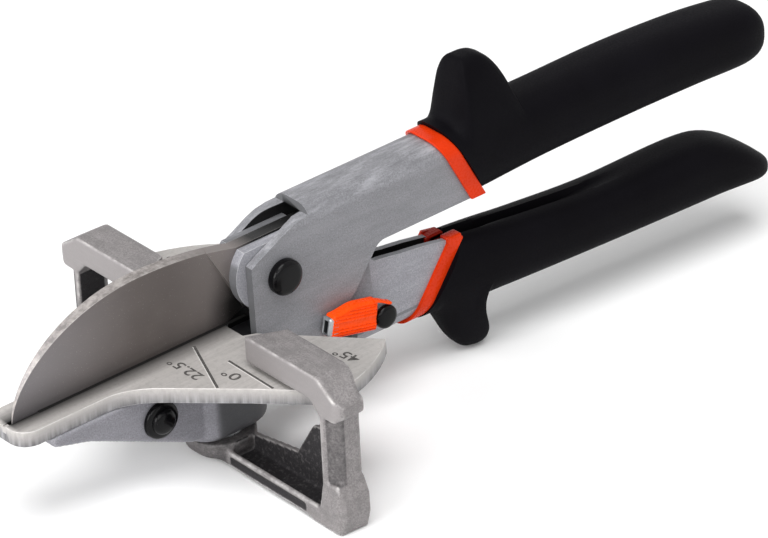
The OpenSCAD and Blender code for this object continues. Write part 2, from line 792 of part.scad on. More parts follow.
module grind_reach() {
    foot_x = blade_len + 7;
    polygon([
        [-10, -10], [foot_x + 10 / tan(grind_lean), -10], [foot_x - 40 / tan(grind_lean), 40], [-10, 40]
    ]);
}

// Places of the flush rivets that hold the blade's tang
blade_rivet_at = [[hub_x + 9.2, hub_z + 3.2], [hub_x + 8.2, hub_z - 4]];

module blade() {
    stand()
    color([0.42, 0.4, 0.39])
    difference() {
        across(-blade_t, 0) blade_side();
        intersection() {
            along(-20, hub_x) grind_section();
            across(-20, 20) grind_reach();
        }
        bar_y(pivot_x, pivot_z, -20, 20, bush_d + 2 * run_gap);
        for (p = blade_rivet_at) bar_y(p[0], p[1], -20, 20, rivet_d);
    }
}

module blade_rivets() {
    stand()
    color("gray")
    for (p = blade_rivet_at) bar_y(p[0], p[1], mid_y - lower_half, mid_y + lower_half, rivet_d);
}

// The opening spring: a coil round a pin between the lower channel's walls, one leg on the floor,
// one leg under the crown of the upper channel
spring_x = hub_x + 19.5;
spring_z = -1;
spring_pin_d = 4;
coil_r = 3.2;
coil_turns = 1.5;
coil_pitch = (blade_t - wire_d - 0.1) / coil_turns;
coil_steps = 36;
leg_up = [hub_x + 22.5, upper_crown_z - upper_sheet - wire_d / 2 - 0.3];
leg_down = [hub_x + 34, lower_floor_z + lower_sheet + wire_d + 0.5];

module spring_pin() {
    stand()
    color("gray")
    bar_y(spring_x, spring_z, mid_y - lower_half, mid_y + lower_half, spring_pin_d);
}

function coil_point(t) =
    let (a = 180 - 360 * coil_turns * t)
    [spring_x + coil_r * cos(a), mid_y + (t - 0.5) * coil_pitch * coil_turns, spring_z + coil_r * sin(a)];
spring_path = concat(
    [[leg_up[0], coil_point(0)[1], leg_up[1]]],
    [for (i = [0 : coil_steps]) coil_point(i / coil_steps)],
    [[leg_down[0], coil_point(1)[1], leg_down[1]]]
);
function unit(v) = v / norm(v);
wire_sides = 6;
function wire_ring(path, i) =
    let (
        a = path[max(0, i - 1)],
        b = path[min(len(path) - 1, i + 1)],
        d = unit(b - a),
        u = unit(cross(d, [0, 1, 0])),
        v = cross(d, u)
    )
    [for (j = [0 : wire_sides - 1])
        let (a = 360 * j / wire_sides)
        path[i] + wire_d / 2 * (cos(a) * u + sin(a) * v)];

module opening_spring() {
    stand()
    color("lightgray")
    skin([for (i = [0 : len(spring_path) - 1]) wire_ring(spring_path, i)]);
}

latch_lever_t = 1.6;
latch_head_d = 5.8;
latch_head_h = 1.6;
latch_washer_d = 5.2;
wall_y = mid_y - lower_half;
latch_boss_t = 2.3;
latch_head_y = latch_y - latch_boss_t - run_gap;

module latch_pin() {
    stand()
    color([0.08, 0.08, 0.09])
    union() {
        bar_y(latch_x, latch_z, latch_head_y, wall_y + trough_sheet, latch_pin_d);
        bar_y(latch_x, latch_z, latch_head_y - latch_head_h, latch_head_y, latch_head_d);
    }
}

module latch_washer() {
    stand()
    color("gray")
    difference() {
        bar_y(latch_x, latch_z, latch_y + run_gap, wall_y, latch_washer_d);
        bar_y(latch_x, latch_z, -30, 30, latch_pin_d);
    }
}

// The latch's own axes: origin at its pin, X towards its tip
module at_latch() {
    translate([latch_x, 0, latch_z])
    rotate([0, 180 + latch_slope, 0])
    children();
}

latch_sleeve_x = 3.2;
latch_tip = 0.3;
module latch_lever() {
    stand()
    at_latch()
    color("lightgray")
    difference() {
        union() {
            translate([0, latch_y - latch_lever_t, -1.8]) cube([latch_len, latch_lever_t, 3.6]);
            bar_y(0, 0, latch_y - latch_boss_t, latch_y, latch_pin_d + 2);
        }
        bar_y(0, 0, -40, 20, latch_pin_d + 2 * run_gap);
    }
}

module latch_sleeve() {
    stand()
    at_latch()
    color("orangered")
    difference() {
        union() {
            translate([latch_sleeve_x, latch_y - latch_t, -latch_h / 2])
                cube([latch_len - latch_tip - latch_sleeve_x, latch_t, latch_h]);
            // tongue over the pin's head
            across(latch_y - latch_t, latch_y - latch_lever_t)
                polygon([
                    [-1.8, -3.1], [latch_sleeve_x, -3.1], [latch_sleeve_x, -2], [latch_sleeve_x + 1.6, -2],
                    [latch_sleeve_x + 1.6, -3.6], [0, -3.8], [-1.6, -3.6]
                ]);
        }
        translate([0, latch_y - latch_lever_t, -1.8]) cube([latch_len, latch_lever_t + 1, 3.6]);
    }
}

// The fence: hub, and on each side a bottom bar, a post and a top bar that points inwards
bar_inner_back = bar_inner + 4.3;
post_inner = fence_half - post_w;
low_bar_z = foot_z + 0.7;
low_bar_top = low_bar_z + low_bar_h;
web_t = 1.6;
rail_t = 1.4;
corner_cut = 2;
hub_bevel = 2.4;
post_rim = 1.3;
ground_slack = 0.6;
// set-back panel in the front of a bottom bar
panel_y = fence_hub_r + 1.7;
panel_end = 6.3;
panel_rim = 0.7;
panel_h = 1.8;
panel_depth = 0.6;

module fence_side() {
    union() {
        // bottom bar with a trough behind its front rail
        difference() {
            translate([fence_face, 0, low_bar_z]) cube([bar_depth, post_inner + 1, low_bar_h]);
            translate([fence_face + rail_t, fence_hub_r + 1, low_bar_z + rail_t])
                cube([bar_depth - rail_t - web_t, post_inner - fence_hub_r - 1, low_bar_h]);
            translate([fence_face - 1, panel_y, low_bar_z + panel_rim])
                cube([1 + panel_depth, post_inner - panel_end - panel_y, panel_h]);
        }
        // rear web and the gusset at the post
        along(fence_face + bar_depth - web_t, fence_face + bar_depth)
            polygon([
                [fence_hub_r, low_bar_z], [fence_hub_r, low_bar_top + 1],
                [post_inner - 18, low_bar_top + 3.6], [post_inner - 12, low_bar_top + 13],
                [post_inner + 1, low_bar_top + 16], [post_inner + 1, low_bar_z]
            ]);
        // post with a set-back front behind its inner rim
        translate([0, 0, low_bar_z])
            linear_extrude(fence_top_z - low_bar_z - 5)
            polygon([
                [fence_face, post_inner], [fence_face, post_inner + post_rim],
                [fence_face + 1, post_inner + post_rim + 0.3], [fence_face + 2.4, fence_half - corner_cut],
                [fence_face + post_depth, fence_half - corner_cut], [fence_face + bar_depth, post_inner + 1],
                [fence_face + bar_depth - web_t, post_inner], [fence_face + 5.5, post_inner]
            ]);
        // foot
        intersection() {
            along(fence_face, fence_face + bar_depth - 1)
                polygon([
                    [post_inner - 1.5, foot_z - ground_slack], [fence_half - 1.6, foot_z - ground_slack],
                    [fence_half - 0.2, foot_z + 4], [fence_half - 0.4, foot_z + 9],
                    [fence_half - 2, foot_z + 12.5], [post_inner, foot_z + 11.5],
                    [post_inner - 1.5, low_bar_top], [post_inner - 6, low_bar_z + 1],
                    [post_inner - 6, low_bar_z]
                ]);
            fence_corner();
        }
        // top bar with a sloping outer corner
        intersection() {
            along(fence_face, fence_face + bar_depth)
                polygon([
                    [0, fence_gap], [0, fence_top_z], [post_inner - 0.4, fence_top_z],
                    [fence_half, fence_top_z - 5], [fence_half, fence_top_z - 8],
                    [fence_half - corner_cut, fence_top_z - 9.5], [post_inner, fence_top_z - 9.5],
                    [post_inner - 3, fence_gap]
                ]);
            fence_corner();
            translate([0, 0, fence_top_z - 20])
                linear_extrude(30)
                polygon([
                    [fence_face - 1, bar_inner], [fence_face - 1, fence_half + 1],
                    [fence_face + post_depth, fence_half + 1],
                    [fence_face + post_depth, fence_half - corner_cut],
                    [fence_face + bar_depth, post_inner + 1], [fence_face + bar_depth, bar_inner_back],
                    [fence_face, bar_inner]
                ]);
        }
    }
}

// Upright prism with the bevelled front corner of a post
module fence_corner() {
    translate([0, 0, foot_z - 5])
    linear_extrude(fence_top_z - foot_z + 10)
    polygon([
        [fence_face, 0], [fence_face, fence_half - corner_cut], [fence_face + corner_cut * 0.6, fence_half],
        [fence_face + bar_depth + 1, fence_half], [fence_face + bar_depth + 1, 0]
    ]);
}

module fence() {
    stand()
    color("silver")
    difference() {
        union() {
            fence_side();
            mirror([0, 1, 0]) fence_side();
            translate([fence_x, mid_y, low_bar_z])
                cylinder(h = hub_bevel, r1 = fence_hub_r - hub_bevel, r2 = fence_hub_r);
            bar_z(fence_x, mid_y, low_bar_z + hub_bevel, fence_hub_z, 2 * fence_hub_r);
        }
        bar_z(fence_x, mid_y, low_bar_z - 5, fence_hub_z + 5, fence_screw_d + 2 * run_gap);
        bar_z(fence_x, mid_y, low_bar_z - 5, fence_hub_z - fence_web, fence_screw_d + 4 + 2 * pass_gap);
        // level undersides of the feet
        translate([fence_face, 0, foot_z])
            rotate([0, stand_tilt, 0])
            translate([-5, -60, -10])
            cube([30, 120, 10]);
    }
}

upper_channel();
upper_grip();
upper_collar();
jaw_body();
table_plate();
jaw_screw();
jaw_nut();
cheek_rivets();
pivot_bolt();
pivot_washer();
pivot_nut();
pivot_bush();
fence_screw();
fence_washer();
lower_channel();
lower_grip();
lower_collar();
blade();
blade_rivets();
spring_pin();
opening_spring();
latch_pin();
latch_washer();
fence();
latch_lever();
latch_sleeve();
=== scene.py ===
"""Looks of the mitre shears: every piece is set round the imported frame, in metres.

Shapes are drawn in the tool's own axes, in millimetres: X along the cutting edge from the blade's tip
to the handles, Y square to the blade, Z up from the table's top. The matrix "stand" then sets them down.
"""

import json
import math

import bmesh
import bpy
from mathutils import Matrix, Vector


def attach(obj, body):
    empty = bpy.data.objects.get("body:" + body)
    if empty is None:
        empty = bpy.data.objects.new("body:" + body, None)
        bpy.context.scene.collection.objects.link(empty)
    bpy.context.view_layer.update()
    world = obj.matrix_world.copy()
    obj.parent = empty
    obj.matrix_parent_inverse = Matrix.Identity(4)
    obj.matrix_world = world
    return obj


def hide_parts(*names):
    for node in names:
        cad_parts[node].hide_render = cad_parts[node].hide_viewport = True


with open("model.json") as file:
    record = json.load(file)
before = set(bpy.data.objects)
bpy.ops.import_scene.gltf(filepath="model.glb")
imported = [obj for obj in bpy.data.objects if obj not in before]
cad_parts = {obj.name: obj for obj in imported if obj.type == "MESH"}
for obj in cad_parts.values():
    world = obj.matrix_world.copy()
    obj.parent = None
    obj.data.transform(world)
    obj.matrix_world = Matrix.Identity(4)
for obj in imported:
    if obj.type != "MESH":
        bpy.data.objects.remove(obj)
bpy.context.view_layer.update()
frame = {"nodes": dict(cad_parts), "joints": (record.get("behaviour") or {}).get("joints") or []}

# Where the tool's own axes lie in the frame
joint = {j["name"]: j for j in frame["joints"]}
PIVOT = Vector((71.8, -1.5, 10.8))
MID_Y = PIVOT.y
lean = math.atan2(-joint["fence_swivel"]["axis"][0], joint["fence_swivel"]["axis"][2])
stand = (
    Matrix.Translation(Vector(joint["handle_pivot"]["pos_m"]))
    @ Matrix.Rotation(-lean, 4, "Y")
    @ Matrix.Scale(0.001, 4)
    @ Matrix.Translation(-PIVOT)
)


# Finishes

def srgb(r, g, b):
    """A colour as the eye reads it, 0 to 255, in linear light."""
    def one(v):
        v /= 255
        return v / 12.92 if v <= 0.04045 else ((v + 0.055) / 1.055) ** 2.4
    return (one(r), one(g), one(b), 1)


# sockets of a mix node that mixes colours: factor and both colours, and the result
MIX_INPUTS, MIX_OUTPUT = (0, 6, 7), 2


class Finish:
    """A material with the few nodes that the shears' surfaces need."""

    def __init__(self, name, roughness, metallic, specular=0.5):
        self.material = bpy.data.materials.new(name)
        self.material.use_nodes = True
        self.tree = self.material.node_tree
        self.shader = self.tree.nodes["Principled BSDF"]
        self.shader.inputs["Roughness"].default_value = roughness
        self.shader.inputs["Metallic"].default_value = metallic
        self.shader.inputs["Specular IOR Level"].default_value = specular
        self.place = self.tree.nodes.new("ShaderNodeTexCoord").outputs["Object"]

    def link(self, a, b):
        self.tree.links.new(a, b)

    def turned(self, stretch=(1, 1, 1), angle=(0, 0, 0)):
        """Object coordinates turned to the tool's axes, then stretched."""
        level = self.tree.nodes.new("ShaderNodeMapping")
        level.inputs["Rotation"].default_value = (0, lean, 0)
        self.link(self.place, level.inputs["Vector"])
        node = self.tree.nodes.new("ShaderNodeMapping")
        node.inputs["Rotation"].default_value = angle
        node.inputs["Scale"].default_value = stretch
        self.link(level.outputs["Vector"], node.inputs["Vector"])
        return node.outputs["Vector"]

    def noise(self, scale, detail, vector=None, roughness=0.5):
        node = self.tree.nodes.new("ShaderNodeTexNoise")
        node.inputs["Scale"].default_value = scale
        node.inputs["Detail"].default_value = detail
        node.inputs["Roughness"].default_value = roughness
        self.link(vector or self.place, node.inputs["Vector"])
        return node.outputs["Fac"]

    def cells(self, scale):
        node = self.tree.nodes.new("ShaderNodeTexVoronoi")
        node.inputs["Scale"].default_value = scale
        self.link(self.place, node.inputs["Vector"])
        return node.outputs["Distance"]

    def attribute(self, name):
        node = self.tree.nodes.new("ShaderNodeAttribute")
        node.attribute_name = name
        return node.outputs["Fac"]

    def ramp(self, value, *stops):
        """Stops are (position, colour)."""
        node = self.tree.nodes.new("ShaderNodeValToRGB")
        elements = node.color_ramp.elements
        while len(elements) < len(stops):
            elements.new(0.5)
        for element, (at, colour) in zip(elements, stops):
            element.position = at
            element.color = colour
        self.link(value, node.inputs["Fac"])
        return node.outputs["Color"]

    def level(self, value, low, high, out_low, out_high):
        """Spreads a value from low..high to out_low..out_high."""
        node = self.tree.nodes.new("ShaderNodeMapRange")
        for key, v in zip(("From Min", "From Max", "To Min", "To Max"), (low, high, out_low, out_high)):
            node.inputs[key].default_value = v
        self.link(value, node.inputs["Value"])
        return node.outputs["Result"]

    def feed(self, socket, value):
        """Links another node's output to a socket, or sets the socket to a plain value."""
        if isinstance(value, bpy.types.NodeSocket):
            self.link(value, socket)
        else:
            socket.default_value = value

    def math(self, how, a, b):
        node = self.tree.nodes.new("ShaderNodeMath")
        node.operation = how
        self.feed(node.inputs[0], a)
        self.feed(node.inputs[1], b)
        return node.outputs["Value"]

    def mix(self, share, a, b):
        """Colour a, turned into colour b by a share."""
        node = self.tree.nodes.new("ShaderNodeMix")
        node.data_type = "RGBA"
        for socket, value in zip(MIX_INPUTS, (share, a, b)):
            self.feed(node.inputs[socket], value)
        return node.outputs[MIX_OUTPUT]

    def bump(self, height, strength, depth, under=None):
        """Depth in metres."""
        node = self.tree.nodes.new("ShaderNodeBump")
        node.inputs["Strength"].default_value = strength
        node.inputs["Distance"].default_value = depth
        self.link(height, node.inputs["Height"])
        if under is not None:
            self.link(under, node.inputs["Normal"])
        return node.outputs["Normal"]

    def set(self, colour, roughness=None, normal=None):
        for key, output in (("Base Color", colour), ("Roughness", roughness), ("Normal", normal)):
            if output is not None:
                self.link(output, self.shader.inputs[key])
        return self.material


def shade(colour, k):
    """A lighter or darker colour."""
    return tuple(min(1, c * k) for c in colour[:3]) + (1,)


def powder_coat(name, colour, edge_share):
    """Silver-grey coat with fine grains over rolled sheet, rubbed bright along its edges; painted shade
    darkens its inside and the faces turned away from the light, and streaks of painted sheen lie on its
    crown.
    """
    f = Finish(name, 0.48, 0.1, 0.3)
    grain = f.noise(2700, 3.5, roughness=0.75)
    cloud = f.noise(420, 4, f.turned((0.35, 1, 1), (0, math.radians(8), 0)), 0.65)
    rolled = f.noise(260, 3, f.turned((0.1, 1.5, 1.5)), 0.6)
    base = f.ramp(grain, (0.28, shade(colour, 0.66)), (0.5, colour), (0.72, shade(colour, 1.42)))
    base = f.mix(f.level(cloud, 0.42, 0.68, 0, 0.42), base, shade(colour, 0.74))
    base = f.mix(f.level(rolled, 0.52, 0.72, 0, 0.32), base, shade(colour, 1.35))
    # partly the rolled sheet's texture, partly painted sheen: streaks on the faces that look up
    crown = f.attribute("crown")
    streaks = f.noise(360, 4, f.turned((0.28, 1.2, 1.2)), 0.75)
    base = f.mix(f.math("MULTIPLY", crown, f.level(streaks, 0.5, 0.68, 0, 0.7)), base, shade(colour, 1.75))
    base = f.mix(f.math("MULTIPLY", crown, f.level(streaks, 0.48, 0.32, 0, 0.6)), base, shade(colour, 0.6))
    # painted shade: grey on faces turned away from the light, the sheet's lower edges and the jaw's boss side
    base = f.mix(f.math("MULTIPLY", f.attribute("painted_grey_shade"), 0.7), base, srgb(84, 85, 86))
    worn = f.math("MULTIPLY", f.attribute("edge"), f.level(f.noise(420, 3), 0.3, 0.5, 0, edge_share))
    base = f.mix(worn, base, srgb(232, 232, 234))
    # painted shade: near black on the inside of the channels and on the jaw's tongue
    base = f.mix(f.attribute("inside"), base, srgb(20, 20, 21))
    rough = f.level(grain, 0.3, 0.7, 0.42, 0.56)
    return f.set(base, rough, f.bump(grain, 0.35, 0.00007))


def cast_metal(name, colour, light, dark):
    """Blasted casting: speckled and pitted, bright where it is handled, dark and grimy in its pockets with
    painted shade, and with painted shade in its creases.
    """
    f = Finish(name, 0.52, 0.3, 0.4)
    speckle = f.noise(2600, 3.5, roughness=0.75)
    blotch = f.noise(330, 4)
    strokes = f.noise(650, 4, f.turned((1.5, 0.14, 1.5)), 0.7)
    base = f.ramp(speckle, (0.3, shade(colour, 0.58)), (0.5, colour), (0.7, shade(colour, 1.5)))
    base = f.mix(f.level(blotch, 0.4, 0.68, 0, 0.55), base, shade(colour, 0.7))
    base = f.mix(f.level(strokes, 0.5, 0.7, 0, 0.5), base, shade(colour, 1.4))
    # painted light: faces that look forward, above the rails, lighter and smoother
    base = f.mix(f.math("MULTIPLY", f.attribute("front"), 0.75), base, shade(colour, 1.3))
    worn = f.math("MULTIPLY", f.attribute("edge"), f.level(f.noise(520, 4), 0.4, 0.64, 0.1, 0.75))
    base = f.mix(worn, base, light)
    # the pockets: a rough dark skin with dirt, darkened further by painted shade
    pocket = f.attribute("pocket")
    grime_and_shade = f.math("MULTIPLY", pocket, f.level(f.noise(1000, 4, roughness=0.75), 0.36, 0.6, 0.55, 1.0))
    base = f.mix(grime_and_shade, base, dark)
    # painted shade in the creases where the casting draws in
    crease_shade = f.math("MULTIPLY", f.attribute("crease_shade"), 0.6)
    base = f.mix(crease_shade, base, shade(dark, 0.8))
    rough = f.math("ADD", f.level(speckle, 0.3, 0.7, 0.42, 0.6), f.math("MULTIPLY", pocket, 0.12))
    pits = f.bump(speckle, 0.5, 0.0001)
    coarse = f.math("MULTIPLY", pocket, f.noise(900, 3))
    return f.set(base, rough, f.bump(coarse, 0.4, 0.0003, pits))


def table_metal():
    """Milled light alloy: fine strokes across the tool, a clouded tone, bright edges, sawn sides, painted
    shade in the slot.
    """
    colour = srgb(180, 176, 173)
    f = Finish("milled_table", 0.48, 0.15, 0.3)
    strokes = f.noise(900, 3, f.turned((0.12, 1.6, 1)), 0.6)
    sides = f.noise(700, 3, f.turned((1.3, 1.3, 0.08)), 0.6)
    speckle = f.noise(2200, 2)
    cloud = f.noise(120, 4)
    base = f.ramp(strokes, (0.3, shade(colour, 0.88)), (0.52, colour), (0.72, shade(colour, 1.1)))
    base = f.mix(f.level(sides, 0.5, 0.68, 0, 0.34), base, shade(colour, 0.62))
    base = f.mix(f.level(speckle, 0.55, 0.75, 0, 0.45), base, shade(colour, 0.78))
    base = f.mix(f.level(cloud, 0.4, 0.7, 0, 0.35), base, shade(colour, 0.84))
    sawn = f.ramp(sides, (0.32, srgb(90, 89, 91)), (0.5, srgb(118, 117, 119)), (0.68, srgb(148, 147, 149)))
    base = f.mix(f.attribute("side"), base, sawn)
    worn = f.math("MULTIPLY", f.attribute("edge"), f.level(f.noise(260, 2), 0.36, 0.6, 0, 0.6))
    base = f.mix(worn, base, srgb(212, 210, 208))
    # painted shade: the slot near black
    base = f.mix(f.attribute("slot"), base, srgb(16, 15, 15))
    rough = f.level(strokes, 0.3, 0.7, 0.38, 0.54)
    return f.set(base, rough, f.bump(strokes, 0.2, 0.00005))


# tones along the blade, the last of them painted shade that darkens the tang: where each begins and where it
# is
#  full, along the turned X in metres, its greatest share and its colour
BLADE_TONES_AND_SHADE = [
    (-0.075, -0.108, 0.6, srgb(134, 132, 136)),
    (-0.066, -0.05, 0.6, srgb(132, 125, 123)),
    # painted shade on the tang, near black towards the pivot
    (-0.0485, -0.0425, 0.97, srgb(24, 25, 26)),
]
# the blade's heel in metres of the tool's axes: where its painted shade begins and where it is full
HEEL_X, HEEL_Z = (0.055, 0.062), (0.014, 0.005)


def ground_steel():
    """Ground blade steel: soft strokes across the edge, brownish, bluer to the tip, with fine bright
    specks; painted shade darkens it towards the pivot and where it closes on the table."""
    colour = srgb(112, 105, 102)
    f = Finish("ground_blade", 0.44, 0.5, 0.4)
    strokes = f.noise(1300, 3, f.turned((0.05, 1, 1.2), (0, math.radians(-62), 0)), 0.6)
    specks = f.noise(4200, 1.5)
    cloud = f.noise(50, 4)
    mottle = f.noise(480, 4, roughness=0.7)
    along = f.tree.nodes.new("ShaderNodeSeparateXYZ")
    f.link(f.turned(), along.inputs["Vector"])
    base = f.ramp(strokes, (0.3, shade(colour, 0.94)), (0.5, colour), (0.7, shade(colour, 1.07)))
    base = f.mix(f.level(cloud, 0.38, 0.62, 0, 0.65), base, srgb(98, 92, 90))
    for start, full, share, tone in BLADE_TONES_AND_SHADE:
        base = f.mix(f.level(along.outputs["X"], start, full, 0, share), base, tone)
    # painted shade: the heel darkens to near black where it closes on the table
    origin = Matrix.Rotation(lean, 4, "Y") @ Vector(joint["handle_pivot"]["pos_m"]) - PIVOT / 1000
    behind = f.level(along.outputs["X"], *(origin.x + x for x in HEEL_X), 0, 0.92)
    below = f.level(along.outputs["Z"], *(origin.z + z for z in HEEL_Z), 0, 1)
    heel_shade = f.math("MULTIPLY", behind, below)
    base = f.mix(heel_shade, base, srgb(22, 20, 21))
    base = f.mix(f.level(specks, 0.7, 0.78, 0, 0.6), base, srgb(196, 192, 188))
    bright = f.math("MULTIPLY", f.attribute("spine"), f.level(mottle, 0.38, 0.62, 0.2, 1.0))
    base = f.mix(bright, base, srgb(174, 168, 165))
    base = f.mix(f.math("MULTIPLY", f.attribute("edge"), 0.5), base, srgb(178, 174, 171))
    rough = f.level(strokes, 0.3, 0.7, 0.36, 0.5)
    return f.set(base, rough, f.bump(strokes, 0.12, 0.00003))


def plated_steel():
    """Bright zinc plate with a faint haze, and painted shade where a part is marked inside."""
    colour = srgb(168, 170, 173)
    f = Finish("zinc_plate", 0.34, 0.7)
    haze = f.noise(700, 3)
    base = f.ramp(haze, (0.3, shade(colour, 0.75)), (0.7, shade(colour, 1.15)))
    base = f.mix(f.math("MULTIPLY", f.attribute("edge"), 0.7), base, srgb(226, 228, 230))
    # painted shade: near black in the recess of the latch lever's tip
    base = f.mix(f.attribute("inside"), base, srgb(34, 36, 38))
    return f.set(base, f.level(haze, 0.3, 0.7, 0.26, 0.44), f.bump(haze, 0.2, 0.00004))


def blackened_steel():
    """Black oxide: near black, oily gloss, slightly browned on its edges."""
    f = Finish("black_oxide", 0.2, 0.0, 0.13)
    haze = f.noise(900, 3)
    base = f.ramp(haze, (0.3, srgb(7, 7, 8)), (0.7, srgb(14, 13, 15)))
    worn = f.math("MULTIPLY", f.attribute("edge"), f.level(f.noise(600, 2), 0.4, 0.6, 0, 0.4))
    base = f.mix(worn, base, srgb(70, 66, 64))
    return f.set(base, f.level(haze, 0.3, 0.7, 0.1, 0.2), f.bump(haze, 0.1, 0.00003))


def orange_plastic(name, colour):
    """Moulded orange plastic, glossy, with a very fine skin."""
    f = Finish(name, 0.3, 0.0, 0.09)
    skin = f.noise(1600, 2)
    cloud = f.noise(150, 2)
    base = f.ramp(cloud, (0.3, shade(colour, 0.88)), (0.7, colour))
    base = f.mix(f.attribute("shaded"), base, srgb(150, 24, 14))
    return f.set(base, f.level(skin, 0.3, 0.7, 0.22, 0.34), f.bump(skin, 0.05, 0.00003))


def grip_rubber():
    """Soft black rubber with a spark-eroded skin."""
    f = Finish("moulded_rubber", 0.6, 0.0, 0.04)
    grain = f.noise(2400, 3)
    cloud = f.noise(55, 3)
    base = f.ramp(cloud, (0.3, srgb(8, 7, 10)), (0.7, srgb(12, 11, 15)))
    return f.set(base, f.level(grain, 0.3, 0.7, 0.5, 0.66), f.bump(grain, 0.3, 0.00006))


def bush_bronze():
    f = Finish("sintered_bronze", 0.45, 0.8)
    pores = f.cells(2600)
    base = f.ramp(pores, (0.1, srgb(92, 66, 38)), (0.5, srgb(168, 126, 76)))
    return f.set(base, f.level(pores, 0.0, 0.6, 0.55, 0.38), f.bump(pores, 0.3, 0.00005))


def mark_ink(name, low, high):
    """The floor of an engraved line, a strip of painted shade, or a painted highlight on a line's raised
    burr.
    """
    f = Finish(name, 0.7, 0.0, 0.2)
    grime_and_shade = f.noise(1800, 2)
    return f.set(f.ramp(grime_and_shade, (0.3, low), (0.7, high)), normal=f.bump(grime_and_shade, 0.2, 0.00004))


COAT = powder_coat("silver_coat", srgb(130, 130, 134), 0.9)
LOWER_COAT = powder_coat("lower_coat", srgb(148, 148, 154), 0.9)
JAW_COAT = powder_coat("jaw_coat", srgb(126, 125, 131), 0.1)
# the last colour darkens the pockets: dirt and painted shade
FENCE_METAL = cast_metal("blasted_casting", srgb(129, 125, 125), srgb(200, 197, 195), srgb(42, 40, 42))
TABLE_METAL = table_metal()
BLADE_STEEL = ground_steel()
ZINC = plated_steel()
BLACK = blackened_steel()
COLLAR_ORANGE = orange_plastic("collar_moulding", srgb(214, 54, 14))
LATCH_ORANGE = orange_plastic("latch_moulding", srgb(255, 78, 14))
RUBBER = grip_rubber()
BRONZE = bush_bronze()
INK = mark_ink("engraved_line", srgb(60, 58, 57), srgb(96, 93, 91))
# painted shade: a dark strip along the slot's edge
PAINTED_SLOT_SHADE = mark_ink("slot_shade", srgb(12, 11, 11), srgb(20, 19, 18))
# painted highlight: a bright strip along one side of each engraved line, for its lit burr
BURR_HIGHLIGHT = mark_ink("line_burr_highlight", srgb(206, 203, 200), srgb(226, 223, 220))


# Making pieces

# edges sharper than this are rounded; two of them that bend less than the second angle run on as one line
SHARP_EDGE, RUNS_ON = math.radians(32), math.radians(40)
# lengths in widths of the rounding: an edge short enough to crowd a corner, one long enough to be parted
# beside it, and how far from the corner it is parted
SHORT_EDGE, LONG_EDGE, PARTED_AT = 2.2, 5, 1.6
# faces that meet under this angle become one
FLAT = math.radians(0.8)
TURNED_SIDES = 64
# how far a casting's point stands out or draws in, in steps of its grid: where the mark begins, and its run
STANDS_OUT, DRAWS_IN = (0.06, 0.06), (0.03, 0.08)


def smooth_step(t):
    t = min(1, max(0, t))
    return t * t * (3 - 2 * t)


def add_object(name, data):
    obj = bpy.data.objects.new(name, data)
    bpy.context.scene.collection.objects.link(obj)
    return obj


def piece(name, bm, body, finish, slot, *nodes, sharp=50):
    """Turns a bmesh in metres into a piece that rides on a body and stands for its nodes; edges stay sharp
    from an angle in degrees."""
    mesh = bpy.data.meshes.new(name)
    bm.to_mesh(mesh)
    bm.free()
    mesh.shade_smooth()
    mesh.set_sharp_from_angle(angle=math.radians(sharp))
    mesh.materials.append(finish)
    obj = add_object(name, mesh)
    even = obj.modifiers.new("even_shading", "WEIGHTED_NORMAL")
    even.keep_sharp = True
    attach(obj, body)
    if nodes:
        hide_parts(*nodes)


def move(bm, matrix):
    bmesh.ops.transform(bm, matrix=matrix, verts=bm.verts)
    return bm


def settle(bm):
    """From the tool's axes in millimetres to the frame in metres."""
    return move(bm, stand)


def lift(bm):
    """From the frame in metres back to the tool's axes in millimetres."""
    move(bm, stand.inverted()).normal_update()
    return bm


def mark(bm, name, share):
    """Writes share(vertex) to a new float layer of the mesh."""
    layer = bm.verts.layers.float.new(name)
    for v in bm.verts:
        v[layer] = share(v)


def ease_edges(bm, width, steps):
    """Rounds the sharp edges by a width in the mesh's own unit and marks the new strips as worn edge.
    A long edge that ends among very short ones is parted there first, so that these don't hold it back."""
    def sharp():
        return {e for e in bm.edges if e.is_manifold and e.calc_face_angle(0) > SHARP_EDGE}

    def is_short(e):
        return e.calc_length() < SHORT_EDGE * width

    def is_crowded(v):
        mine = [e for e in v.link_edges if e in lines]
        if any(is_short(e) for e in v.link_edges if e not in lines):
            return True
        if len(mine) == 2:
            a, b = (e.other_vert(v).co - v.co for e in mine)
            if a.angle(-b, 0) < RUNS_ON:
                return False
        return any(is_short(e) for e in mine)
    lines = sharp()
    crowded = {v for v in bm.verts if is_crowded(v)}
    for e in lines:
        for v in tuple(e.verts):
            if v in crowded and v in e.verts and e.calc_length() > LONG_EDGE * width:
                other = e.other_vert(v)
                made, _ = bmesh.utils.edge_split(e, v, PARTED_AT * width / e.calc_length())
                e = made if other in made.verts else e
    chosen = [e for e in sharp() if not crowded.intersection(e.verts)]
    made = bmesh.ops.bevel(bm, geom=chosen, offset=width, offset_type="OFFSET", affect="EDGES",
                           segments=steps, profile=0.5, material=-1, clamp_overlap=True)
    strip = set(made["faces"])
    layer = bm.verts.layers.float.new("edge")
    for v in bm.verts:
        if v.link_faces and all(f in strip for f in v.link_faces):
            v[layer] = 1


def solid_copy(node, join=0.02):
    """The node's solid as a clean mesh, in metres; points closer than join, in millimetres, become one."""
    bm = bmesh.new()
    bm.from_mesh(frame["nodes"][node].data)
    bmesh.ops.remove_doubles(bm, verts=bm.verts, dist=join / 1000)
    bmesh.ops.dissolve_limit(bm, angle_limit=FLAT, verts=bm.verts, edges=bm.edges)
    return bm


def eased_copy(node, width, steps, join):
    """The node's solid with rounded edges; widths in millimetres."""
    bm = solid_copy(node, join)
    ease_edges(bm, width / 1000, steps)
    return bm


